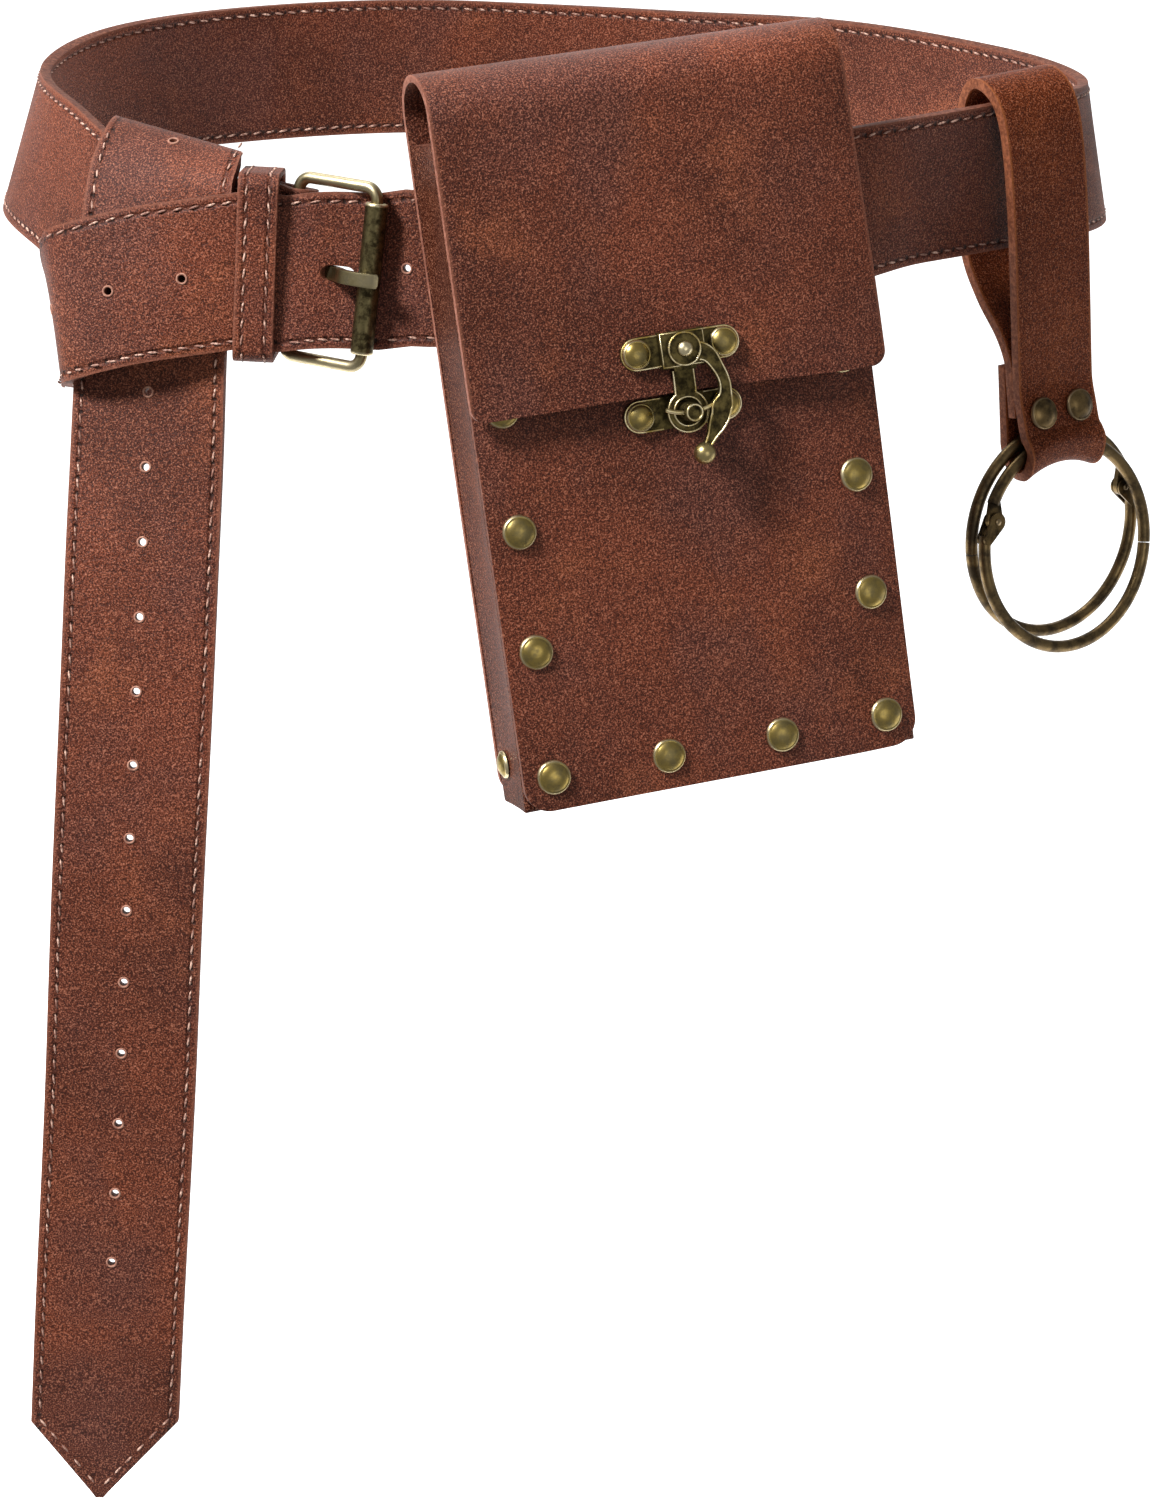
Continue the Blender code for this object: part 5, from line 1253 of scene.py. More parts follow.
def lathe(profile, steps, matrix, wear=None):
    """A profile of (radius, y) turned round the y axis, with its worn share by radius and y."""
    bm = bmesh.new()
    verts = [bm.verts.new((r, y, 0)) for r, y in profile]
    edges = [bm.edges.new(pair) for pair in zip(verts, verts[1:])]
    bmesh.ops.spin(
        bm, geom=verts + edges, cent=(0, 0, 0), axis=(0, 1, 0), angle=2 * math.pi, steps=steps, use_merge=True
    )
    bmesh.ops.remove_doubles(bm, verts=bm.verts, dist=1e-6)
    bmesh.ops.recalc_face_normals(bm, faces=bm.faces)
    layer = bm.verts.layers.float.new("wear")
    for vert in bm.verts:
        radius = math.hypot(vert.co.x, vert.co.z)
        vert[layer] = wear(radius, vert.co.y) if wear else 0.0
    bmesh.ops.transform(bm, matrix=matrix, verts=bm.verts)
    return bm


# Straps


def strap_grid(sections, columns, bows=None):
    """A grid laid through a strap's sections, with its map across and along in metres."""
    bm = bmesh.new()
    rows = len(sections) - 1
    bmesh.ops.create_grid(bm, x_segments=columns, y_segments=rows, size=1.0)
    lengths = walk_sections(sections)
    layer = bm.loops.layers.uv.new("lay")
    shares = {vert: ((vert.co.x), round(0.5 * (vert.co.y + 1) * rows)) for vert in bm.verts}
    for face in bm.faces:
        for loop in face.loops:
            share, row = shares[loop.vert]
            loop[layer].uv = (share * sections[row][2], lengths[row])
    for vert, (share, row) in shares.items():
        centre, across, half = sections[row]
        vert.co = centre + across * half * share
        if bows:
            vert.co += bows[row] * (1 - share * share)
    return bm


def lay_strap(name, bm, thick, finishes):
    """Gives a laid grid its thickness, with cut edges in their own finish."""
    made = add_mesh(name, bm, finishes)
    solid = made.modifiers.new("thickness", "SOLIDIFY")
    solid.thickness = thick
    solid.offset = 0
    solid.use_even_offset = True
    solid.material_offset_rim = 1
    settle(made)
    return made


def punch(made, sections, distances, radius, finish):
    lengths = walk_sections(sections)
    bm = bmesh.new()
    for distance in distances:
        centre, across, face = section_at(sections, lengths, distance)
        rod(bm, place_matrix(centre, across, face.cross(across), face), radius, 3 * BELT_THICK, 24)
    combine(made, bm, "DIFFERENCE", (finish,))


def rim_holes(name, sections, distances, radius, finish):
    """The pale pressed rim round each punched hole, on both faces."""
    lengths = walk_sections(sections)
    whole = bmesh.new()
    for distance in distances:
        centre, across, face = section_at(sections, lengths, distance)
        for side in (-1, 1):
            spot = centre + face * side * 0.5 * BELT_THICK
            matrix = place_matrix(spot, across, face.cross(across), face)
            start = Matrix.Translation((radius, 0, 0)) @ Matrix.Rotation(0.5 * math.pi, 4, "X")
            drawn = bmesh.ops.create_circle(whole, segments=8, radius=HOLE_RIM_WIRE, matrix=matrix @ start)
            edges = list({edge for vert in drawn["verts"] for edge in vert.link_edges})
            ring = drawn["verts"] + edges
            bmesh.ops.spin(
                whole, geom=ring, cent=spot, axis=face, angle=2 * math.pi, steps=20, use_merge=True
            )
    bmesh.ops.recalc_face_normals(whole, faces=whole.faces)
    made = add_mesh(name, whole, (finish,))
    soften(made, 80)
    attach(made, "belt")


def stitch_row(bm, sections, thick, distances, inset, side, face_side, slant=STITCH_SLANT):
    """A row of stitches at an inset from one edge, on one face of a strap."""
    lengths = walk_sections(sections)
    for distance in distances:
        i = max(k for k in range(len(lengths) - 1) if lengths[k] <= distance)
        share = (distance - lengths[i]) / (lengths[i + 1] - lengths[i])
        half = sections[i][2] + (sections[i + 1][2] - sections[i][2]) * share
        centre, across, face = section_at(sections, lengths, distance)
        along = face.cross(across)
        spot = centre + across * side * (half - inset) + face * face_side * (0.5 * thick)
        turn = Matrix.Rotation(math.radians(slant * side), 4, "Z")
        size = Matrix.Diagonal((STITCH_WIDTH, STITCH_LENGTH, 2 * STITCH_RISE, 1.0))
        matrix = place_matrix(spot, across, along, face) @ turn @ size
        bmesh.ops.create_uvsphere(bm, u_segments=6, v_segments=4, radius=0.5, matrix=matrix)


def stitch_strap(name, sections, thick, finish, skip=(), ends=STITCH_START):
    """Two rows of stitches on each face of a strap."""
    bm = bmesh.new()
    total = walk_sections(sections)[-1]
    count = int((total - 2 * ends) / STITCH_STEP)
    for side in (-1, 1):
        for face_side in (-1, 1):
            places = [ends + (k + 0.5) * STITCH_STEP for k in range(count)]
            places = [d for d in places if not any(low < d < high for low, high in skip)]
            stitch_row(bm, sections, thick, places, STITCH_INSET, side, face_side)
    made = add_mesh(name, bm, (finish,))
    soften(made, 80)
    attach(made, "belt")
    return made


# Belt


def near_distance(sections, point, after=0.0):
    lengths = walk_sections(sections)
    near = [(c - point).length if lengths[i] >= after else 1.0 for i, (c, _, _) in enumerate(sections)]
    return lengths[near.index(min(near))]


def lengths_end(sections):
    return walk_sections(sections)[-1]


def dress_belt(looks):
    sections = belt_strap_sections()
    strap = lay_strap("belt", strap_grid(sections, STRAP_COLUMNS), BELT_THICK, (looks["belt"], looks["edge"]))
    heel = near_distance(sections, buckle_stations()[-1][0], 0.5 * walk_sections(sections)[-1])
    prong = heel - 0.54 * BUCKLE_SPAN
    last = walk_sections(sections)[-1] - 0.4 * HOLE_PITCH
    holes = [prong - HOLE_PITCH] + [prong + k * HOLE_PITCH for k in range(1, 12)]
    holes = [d for d in holes if d < last]
    punch(strap, sections, holes, PUNCH_RADIUS, looks["edge"])
    outside = heel_radius() + 0.5 * BELT_THICK
    half = 0.5 * PRONG_SLOT_WIDTH
    near, far = (share * BUCKLE_SPAN for share in TONGUE_SLOT)
    slot = 0.5 * PRONG_WIDTH + PIECE_GAP
    bm = hull(bmesh.new(), ((near, 0, slot), (far, 0, slot)), -1.7 * BELT_THICK, 1.7 * BELT_THICK, 24)
    combine(strap, bm, "DIFFERENCE", (looks["edge"],), buckle_matrix())
    bm = bmesh.new()
    block(bm, (-1.7 * BUCKLE_WIRE, -outside - LAYER_GAP / 2, -half), (1.3 * outside, 1.3 * outside, half))
    combine(strap, bm, "DIFFERENCE", (looks["edge"],), buckle_matrix())
    round_edges(strap, EDGE_ROUND)
    put(strap, "belt", "leather_brown", "belt_strap")
    turn = knot_place() + Vector(TONGUE_ROWS[7][:3]) * BELT_WIDTH
    hidden = near_distance(sections, turn, 0.5 * lengths_end(sections))
    roller = (heel - 1.3 * BUCKLE_SPAN, heel - 1.1 * BUCKLE_SPAN)
    stitch_strap("belt_stitches", sections, BELT_THICK, looks["thread"], (roller, (hidden, 2 * hidden)))
    rim_holes("belt_hole_rims", sections, [d for d in holes if d < hidden], PUNCH_RIM, looks["hole_rim"])


def dress_hanging_end(looks):
    sections = hanging_sections()
    strap = lay_strap(
        "belt_hanging_strap", strap_grid(sections, STRAP_COLUMNS), BELT_THICK, (looks["belt"], looks["edge"])
    )
    holes = [TOP_HANGING_HOLE] + [FIRST_HANGING_HOLE + k * HOLE_PITCH for k in range(HANGING_HOLES)]
    punch(strap, sections, holes, PUNCH_RADIUS, looks["edge"])
    rim_holes("hanging_hole_rims", sections, holes, PUNCH_RIM, looks["hole_rim"])
    round_edges(strap, EDGE_ROUND)
    put(strap, "belt", "leather_brown", "belt_hanging_end")
    shoulder = near_distance(sections, knot_place() + Vector(HANGING_ROWS[-1][:3]) * BELT_WIDTH)
    total = walk_sections(sections)[-1]
    hidden = near_distance(sections, knot_place() + Vector(HANGING_ROWS[4][:3]) * BELT_WIDTH)
    skip = ((0.0, hidden), (shoulder - STITCH_INSET, total))
    stitch_strap("hanging_stitches", sections, BELT_THICK, looks["thread"], skip)
    bm = bmesh.new()
    stitch_point(bm, sections, shoulder)
    made = add_mesh("point_stitches", bm, (looks["thread"],))
    soften(made, 80)
    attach(made, "belt")


def stitch_point(bm, sections, shoulder):
    """Stitches along the slanting edges of the strap's point."""
    lengths = walk_sections(sections)
    for side in (-1, 1):
        rim = []
        for (centre, across, half), length in zip(sections, lengths):
            if length >= shoulder - 1e-6:
                rim.append(centre + across * side * half)
        for a, b in zip(rim, rim[1:]):
            count = int((b - a).length / STITCH_STEP)
            _, across, face = section_at(sections, lengths, shoulder + 0.5 * (b - a).length)
            along = (b - a).normalized()
            inward = face.cross(along) * (1 if face.cross(along).dot(across) * side < 0 else -1)
            for k in range(count):
                spot = a.lerp(b, (k + 0.5) / count) + inward * STITCH_INSET
                for face_side in (-1, 1):
                    size = Matrix.Diagonal((STITCH_WIDTH, STITCH_LENGTH, 2 * STITCH_RISE, 1.0))
                    place = spot + face * face_side * 0.5 * BELT_THICK
                    matrix = place_matrix(place, along.cross(face), along, face) @ size
                    bmesh.ops.create_uvsphere(bm, u_segments=6, v_segments=4, radius=0.5, matrix=matrix)


def dress_keeper(looks):
    """The stitched band round the buckle end and the tongue."""
    middle, half_out, half_up = keeper_box()
    roll = math.radians(KEEPER_ROLL)
    lean = math.tan(math.radians(KEEPER_LEAN))
    along = Vector((math.cos(roll), 0, -math.sin(roll)))
    up = Vector((math.sin(roll), lean, math.cos(roll))).normalized()
    out = Vector((0, -1, lean)).normalized()
    places = rounded_rectangle(half_out, half_up, 2 * KEEPER_THICK, 6)
    ring = [middle + out * p[0] + up * p[1] for p, _ in places]
    ring = refine_ring(ring, KEEPER_STEP)
    start = max(range(len(ring)), key=lambda k: (ring[k] - middle).dot(-out))
    ring = ring[start:] + ring[:start + 1]
    sections = [(spot, along, 0.5 * KEEPER_WIDTH) for spot in ring]
    bm = strap_grid(sections, 6)
    bmesh.ops.remove_doubles(bm, verts=bm.verts, dist=1e-6)
    bmesh.ops.recalc_face_normals(bm, faces=bm.faces)
    band = lay_strap("belt_keeper_band", bm, KEEPER_THICK, (looks["keeper"], looks["edge"]))
    round_edges(band, KEEPER_ROUND)
    put(band, "belt", "leather_brown", "belt_keeper")
    bm = bmesh.new()
    total = walk_sections(sections)[-1]
    count = int(total / STITCH_STEP)
    face = face_sign(sections, middle)
    for side in (-1, 1):
        places = [(k + 0.5) * total / count for k in range(count)]
        stitch_row(bm, sections, KEEPER_THICK, places, STITCH_INSET, side, face)
    made = add_mesh("keeper_stitches", bm, (looks["thread"],))
    soften(made, 80)
    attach(made, "belt")


def refine_ring(ring, step):
    """A closed ring of points with long gaps filled in."""
    found = []
    for a, b in zip(ring, ring[1:] + ring[:1]):
        count = max(1, math.ceil((b - a).length / step))
        found += [a.lerp(b, k / count) for k in range(count)]
    return found


def face_sign(sections, middle):
    lengths = walk_sections(sections)
    centre, _, face = section_at(sections, lengths, 0.5 * lengths[-1])
    return 1 if (centre - middle).dot(face) > 0 else -1


# Buckle


def wire_mesh(name, points, radius, finish, cyclic, resolution=6):
    curve = bpy.data.curves.new(name, "CURVE")
    curve.dimensions = "3D"
    curve.bevel_depth = radius
    curve.bevel_resolution = resolution
    curve.use_fill_caps = not cyclic
    spline = curve.splines.new("POLY")
    spline.points.add(len(points) - 1)
    for point, spot in zip(spline.points, points):
        point.co = (*spot, 1)
    spline.use_cyclic_u = cyclic
    curve.materials.append(finish)
    made = bpy.data.objects.new(name, curve)
    bpy.context.scene.collection.objects.link(made)
    return made


def curve_to_piece(made, name):
    """A curve made into a mesh piece of its own."""
    bpy.context.view_layer.update()
    graph = bpy.context.evaluated_depsgraph_get()
    mesh = bpy.data.meshes.new_from_object(made.evaluated_get(graph))
    mesh.transform(made.matrix_world)
    bpy.data.objects.remove(made, do_unlink=True)
    piece = bpy.data.objects.new(name, mesh)
    bpy.context.scene.collection.objects.link(piece)
    return piece


def add_wear(made, share):
    """Stores how worn each point of a metal piece is."""
    layer = made.data.attributes.new("wear", "FLOAT", "POINT")
    for vert in made.data.vertices:
        layer.data[vert.index].value = share(vert.co)


def dress_buckle(looks):
    places = rounded_rectangle(0.5 * BUCKLE_SPAN, buckle_half_height(), BUCKLE_CORNER, 8)
    points = [(p[0] + 0.5 * BUCKLE_SPAN, 0, p[1]) for p, _ in places]
    wire = wire_mesh("wire", points, BUCKLE_WIRE, looks["brass"], True)
    wire.matrix_world = buckle_matrix()
    buckle = curve_to_piece(wire, "buckle_wire")
    inverse = buckle_matrix().inverted()
    half = buckle_half_height()
    add_wear(buckle, lambda co: 0.10 + 0.30 * max(0.0, abs((inverse @ co).z) / half - 0.85) / 0.15)
    soften(buckle, 60)
    put(buckle, "belt", "brass_antique", "buckle_frame")
    length = buckle_half_height() - BUCKLE_CORNER - PIECE_GAP
    turn = Matrix.Rotation(0.5 * math.pi, 4, "X")
    lip = ROLLER_LIP
    profile = [
        (ROLLER_BORE, -length),
        (ROLLER_RADIUS - lip, -length),
        (ROLLER_RADIUS, -length + lip),
        (ROLLER_RADIUS, -length + 2.5 * lip),
        (ROLLER_RADIUS, -0.5 * length),
        (ROLLER_RADIUS, 0.0),
        (ROLLER_RADIUS, 0.5 * length),
        (ROLLER_RADIUS, length - 2.5 * lip),
        (ROLLER_RADIUS, length - lip),
        (ROLLER_RADIUS - lip, length),
        (ROLLER_BORE, length),
        (ROLLER_BORE, -length),
    ]
    matrix = buckle_matrix() @ Matrix.Translation((BUCKLE_SPAN, 0, 0)) @ turn
    bm = lathe(profile, RIVET_STEPS, matrix, lambda r, y: 0.8 if abs(y) > length - 2 * lip else 0.0)
    roller = add_mesh("roller_sleeve", bm, (looks["roller"],))
    soften(roller, 50)
    put(roller, "belt", "bronze_dark", "buckle_roller")
    dress_prong(looks)


def dress_prong(looks):
    sections = prong_sections()
    metal = (looks["brass"], looks["brass"])
    prong = lay_strap("buckle_tongue_pin", strap_grid(sections, 6), PRONG_THICK, metal)
    bm = bmesh.new()
    eye_inner = BUCKLE_WIRE + 1.4 * PIECE_GAP
    eye_outer = eye_inner + PRONG_EYE_WALL
    rod(bm, Matrix.Identity(4), eye_outer, PRONG_WIDTH, 24)
    combine(prong, bm, "UNION", (looks["brass"],))
    bore(prong, Matrix.Identity(4), eye_inner, 2 * PRONG_WIDTH, 24, (looks["brass"],))
    prong.data.transform(buckle_matrix())
    round_edges(prong, PRONG_ROUND, 4)
    inverse = buckle_matrix().inverted()
    add_wear(prong, lambda co: 0.12 + 0.5 * max(0.0, (inverse @ co).x / BUCKLE_SPAN - 0.9))
    put(prong, "belt", "brass_antique", "buckle_prong")


# Pouch


def pouch_curve(point):
    """The pouch's right edge bends back a little towards the belt, most of all in front."""
    bent = max(0.0, point.x - BEND_FROM)
    back = BEND_BACK * (bent / (0.5 * POUCH_WIDTH - BEND_FROM)) ** 1.6
    share = min(max(1.0 - (point.y + FLAP_STAND_OFF) / POUCH_DEPTH, 0.0), 1.0)
    slack = noise.noise(point * 26.0) * 0.35 * MM
    out = BEND_OUT * (bent / (0.5 * POUCH_WIDTH - BEND_FROM)) ** 1.6
    return Vector((point.x + out, point.y + back * share + slack, point.z))


def bend_tilt(x):
    """How far a head on the front turns with the bend, in radians."""
    step = BEND_PROBE
    ahead = pouch_curve(Vector((x + step, 0, 0))).y - pouch_curve(Vector((x - step, 0, 0))).y
    return math.atan2(ahead, 2 * step)


def bend_mesh(made):
    for vert in made.data.vertices:
        vert.co = pouch_curve(vert.co)


def to_pouch(made):
    made.data.transform(pouch_matrix())


def round_cornered(top, bottom, width, corner, rows, steps=10):
    """Heights and half widths of a panel from its top to a bottom with round corners."""
    found = [(top + (bottom + corner - top) * k / rows, 0.5 * width) for k in range(rows)]
    for k in range(steps + 1):
        angle = 0.5 * math.pi * k / steps
        inset = corner * (1 - math.cos(angle))
        found.append((bottom + corner * (1 - math.sin(angle)), 0.5 * width - inset))
    return found


def dress_front(looks):
    rows = round_cornered(0.0, -POUCH_HEIGHT, POUCH_WIDTH, POUCH_CORNER, 44)
    sections = [(Vector((0, front_panel_y(), z)), Vector((1, 0, 0)), half) for z, half in rows]
    hide = (looks["pouch"], looks["edge"])
    panel = lay_strap("pouch_front_panel", strap_grid(sections, PANEL_COLUMNS), POUCH_THICK, hide)
    bend_mesh(panel)
    to_pouch(panel)
    round_edges(panel, PANEL_ROUND)
    put(panel, "belt", "leather_brown", "pouch_front")


def dress_gusset(looks):
    """Side walls and bottom in one, sagging inwards a little, with flanges under the panels."""
    front, back = gusset_span()
    half = 0.5 * POUCH_WIDTH
    bm = bmesh.new()
    block(bm, (-half, front, -POUCH_HEIGHT), (half, back, -MOUTH_DROP))
    corners = [e for e in bm.edges if abs(e.verts[0].co.x - e.verts[1].co.x) > half]
    corners = [e for e in corners if e.verts[0].co.z < -0.5 * POUCH_HEIGHT]
    sides = [e for e in bm.edges if abs(e.verts[0].co.z - e.verts[1].co.z) > half]
    bmesh.ops.bevel(
        bm, geom=corners + sides, offset=GUSSET_CORNER, segments=4, affect="EDGES", profile=0.5, material=-1
    )
    long_edges = [e for e in bm.edges if abs(e.verts[0].co.z - e.verts[1].co.z) > half]
    bmesh.ops.subdivide_edges(bm, edges=long_edges, cuts=22, use_grid_fill=True)
    deep = [e for e in bm.edges if abs(e.verts[0].co.y - e.verts[1].co.y) > 0.5 * POUCH_DEPTH]
    bmesh.ops.subdivide_edges(bm, edges=deep, cuts=7, use_grid_fill=True)
    middle = 0.5 * (front + back)
    for vert in bm.verts:
        depth = 1 - ((vert.co.y - middle) / (0.5 * (back - front))) ** 2
        high = smoothstep(-POUCH_HEIGHT, -POUCH_HEIGHT + GUSSET_PULL_ROOM, vert.co.z)
        if abs(vert.co.x) > half - 1e-5:
            vert.co.x -= math.copysign(GUSSET_SAG * depth * (0.35 + 0.65 * high), vert.co.x)
    made = add_mesh("pouch_gusset_wall", bm, (looks["gusset"], looks["edge"]))
    solid = made.modifiers.new("thickness", "SOLIDIFY")
    solid.thickness = POUCH_THICK
    solid.offset = -1
    settle(made)
    over = GUSSET_CUT_OVER
    edge = half - FLANGE_WIDTH
    raw = (looks["edge"],)
    low = (-edge, front - over, FLANGE_WIDTH - POUCH_HEIGHT)
    cut_block(made, low, (edge, back + over, over), raw)
    low = (-2 * half, front - over, -MOUTH_DROP - POUCH_THICK - MOUTH_CUT_ROOM)
    cut_block(made, low, (2 * half, back + over, over), raw)
    bend_mesh(made)
    to_pouch(made)
    round_edges(made, GUSSET_ROUND, 2)
    put(made, "belt", "leather_brown", "pouch_gusset")


def fine_flap_path():
    """The middle line of back panel, arch and flap as (y, z, half width)."""
    back = back_panel_y()
    front = flap_mid_y()
    middle = 0.5 * (back + front)
    radius = 0.5 * (back - front)
    rise = FLAP_RISE - 0.5 * POUCH_THICK
    start = -0.35 * FLAP_RISE
    back_rows = round_cornered(start, -POUCH_HEIGHT, POUCH_WIDTH, POUCH_CORNER, 40)
    path = [(back, z, half) for z, half in reversed(back_rows)]
    path.pop()
    arch = 40
    for i in range(arch + 1):
        angle = math.pi * i / arch
        share = i / arch
        y = middle + radius * math.cos(angle)
        z = start + (rise - start) * math.sin(angle) ** 0.75
        path.append((y, z, 0.5 * (POUCH_WIDTH + (FLAP_WIDTH - POUCH_WIDTH) * share)))
    front_rows = round_cornered(start, -FLAP_DROP, FLAP_WIDTH, FLAP_CORNER, 22)
    return path + [(front, z, half) for z, half in front_rows[1:]]


def dress_flap(looks):
    sections = [(Vector((0, y, z)), Vector((1, 0, 0)), half) for y, z, half in fine_flap_path()]
    hide = (looks["flap"], looks["flap_edge"])
    flap = lay_strap("pouch_flap_and_back", strap_grid(sections, PANEL_COLUMNS), POUCH_THICK, hide)
    for vert in flap.data.vertices:
        low = smoothstep(0.0, -FLAP_DROP, vert.co.z) if vert.co.y < 0 else 0.0
        side = smoothstep(0.0, 0.5 * FLAP_WIDTH, vert.co.x)
        vert.co.x += FLAP_FLARE * low * side
        vert.co.z -= FLAP_DIP * low * side
    bend_mesh(flap)
    to_pouch(flap)
    round_edges(flap, PANEL_ROUND)
    put(flap, "belt", "leather_brown", "pouch_back_and_flap")


def dress_loops(looks):
    tab = PIECE_GAP + 0.5 * BACK_LOOP_THICK
    out = loop_stand_off()
    reach = loop_reach()
    bend = out - tab
    half_path = (
        (tab, reach + BACK_LOOP_TAB),
        (tab, reach + 0.4 * MM),
        (0.5 * (tab + out), reach - 0.12 * bend),
        (out, reach - 0.6 * bend),
        (out, 0.4 * reach),
    )
    path = [(y, z) for y, z in half_path] + [(y, -z) for y, z in reversed(half_path)]
    for side, name in ((-1, "back_loop_left"), (1, "back_loop_right")):
        x = side * 0.5 * BACK_LOOP_APART
        centres = [Vector((x, POUCH_DEPTH + y, z - BELT_BELOW_MOUTH)) for y, z in path]
        across = [Vector((1, 0, 0))] * len(path)
        sections = strip_sections(centres, across, [0.5 * BACK_LOOP_WIDTH] * len(path))
        hide = (looks["pouch"], looks["edge"])
        loop = lay_strap(f"{name}_leather", strap_grid(sections, 8), BACK_LOOP_THICK, hide)
        to_pouch(loop)
        round_edges(loop, PANEL_ROUND)
        put(loop, "belt", "leather_brown", name)


# Rivets


def rivet(name, matrix, head, dome, grip, looks, node, metal="brass_gold", cap=RIVET_CAP):
    """A low dome with a turned rim, on its shank, with its cap behind the leather."""
    gap = PIECE_GAP
    low = -gap
    profile = [(0.0, low - dome)]
    profile += [(share * head, low - height * dome) for share, height in DOME_ROWS]
    profile += [(head, low), (RIVET_SHANK, low), (RIVET_SHANK, grip + gap), (cap, grip + gap)]
    profile += [(0.9 * cap, grip + gap + CAP_EDGE), (0.0, grip + gap + CAP_RISE)]

    def wear(radius, y):
        if y > low + 1e-6:
            return 0.1
        rim = smoothstep(0.86 * head, 0.95 * head, radius)
        return 0.03 + 0.72 * rim

    made = add_mesh(name, lathe(profile, RIVET_STEPS, matrix, wear), (looks[metal],))
    soften(made, 55)
    slot = "bronze_dark" if metal == "bronze" else "brass_antique"
    put(made, "belt", slot, node)


def small_cap_rivet(name, matrix, head, dome, grip, looks, node):
    """A rivet whose hidden cap is smaller than the others'."""
    rivet(name, matrix, head, dome, grip, looks, node, cap=0.8 * RIVET_CAP)


def dress_rivets(looks):
    pouch = pouch_matrix()
    front, _ = gusset_span()
    grip = front + POUCH_THICK
    for k, (x, z) in enumerate(edge_rivet_places(), 1):
        spot = pouch_curve(Vector((x, 0, z)))
        matrix = pouch @ Matrix.Translation(spot) @ Matrix.Rotation(bend_tilt(x), 4, "Z")
        rivet(f"front_stud_{k}", matrix, RIVET_HEAD, RIVET_DOME, grip, looks, f"front_rivet_{k}")
    turned = Matrix.Rotation(math.pi, 4, "Z")
    for k, (x, z) in enumerate(back_rivet_places(), 1):
        matrix = pouch @ Matrix.Translation((x, POUCH_DEPTH, z)) @ turned
        name = f"back_stud_{k}"
        rivet(name, matrix, SMALL_RIVET_HEAD, RIVET_DOME, grip, looks, f"back_rivet_{k}")
    for side, y, z in side_rivet_places():
        place = Matrix.Translation((side * (0.5 * POUCH_WIDTH - 0.4 * GUSSET_SAG), y, z))
        matrix = pouch @ place @ Matrix.Rotation(side * 0.5 * math.pi, 4, "Z")
        word = "right" if side > 0 else "left"
        name = f"side_stud_{word}"
        rivet(name, matrix, SMALL_RIVET_HEAD, RIVET_DOME, POUCH_THICK, looks, f"side_rivet_{word}")
    surface = POUCH_DEPTH + PIECE_GAP + BACK_LOOP_THICK
    for k, (x, z) in enumerate(loop_rivet_places(), 1):
        matrix = pouch @ Matrix.Translation((x, surface, z)) @ turned
        grip = PIECE_GAP + BACK_LOOP_THICK + POUCH_THICK
        small_cap_rivet(f"loop_stud_{k}", matrix, LOOP_RIVET_HEAD, RIVET_DOME, grip, looks, f"loop_rivet_{k}")
    upper = plate_faces(flap_face_y())[0]
    grip = flap_face_y() - upper + POUCH_THICK
    for k, (x, z) in enumerate(upper_plate_rivets(), 1):
        matrix = pouch @ Matrix.Translation((x, upper, z))
        name = f"clasp_upper_stud_{k}"
        small_cap_rivet(name, matrix, CLASP_RIVET, CLASP_DOME, grip, looks, f"clasp_upper_rivet_{k}")
    lower = plate_faces(0.0)[0]
    grip = POUCH_THICK - lower
    for k, (x, z) in enumerate(lower_plate_rivets(), 1):
        matrix = pouch @ Matrix.Translation((x, lower, z))
        name = f"clasp_lower_stud_{k}"
        small_cap_rivet(name, matrix, CLASP_RIVET, CLASP_DOME, grip, looks, f"clasp_lower_rivet_{k}")
    for k, matrix in enumerate(hanger_rivet_places(), 1):
        rivet(
            f"hanger_stud_{k}", hanger_matrix() @ matrix, RIVET_HEAD, RIVET_DOME, hanger_grip(), looks,
            f"hanger_rivet_{k}", "bronze"
        )


# Clasp


def finish_plate(plate):
    to_pouch(plate)
    round_edges(plate, PLATE_ROUND, 2)


def raised_line(looks, name, points, body, place, cyclic=False):
    """A thin bright raised rim along a line of points."""
    wire = wire_mesh("wire", points, RIM_WIRE, looks["brass_rim"], cyclic, 4)
    wire.matrix_world = place
    piece = curve_to_piece(wire, name)
    soften(piece, 80)
    ride_along(piece, body)


def arc_points(x, y, z, radius, first, last, steps=28):
    """Points on an arc in the pouch's x and z, its angles in degrees from +x to +z."""
    points = []
    for k in range(steps + 1):
        angle = math.radians(first + (last - first) * k / steps)
        points.append(Vector((x + radius * math.cos(angle), y, z + radius * math.sin(angle))))
    return points


def bar_end_line(side, start, y, z):
    """The outline of one rounded end of a clasp bar, beginning beside its middle."""
    radius = CLASP_PLATE_END - RIM_WIRE
    middle = CLASP_X + side * CLASP_RIVET_OFF
    bend = arc_points(middle, y, z, radius, 90.0, 90.0 - side * 180.0)
    begin = Vector((CLASP_X + side * start, y, z + radius))
    end = Vector((CLASP_X + side * start, y, z - radius))
    return [begin] + bend + [end]


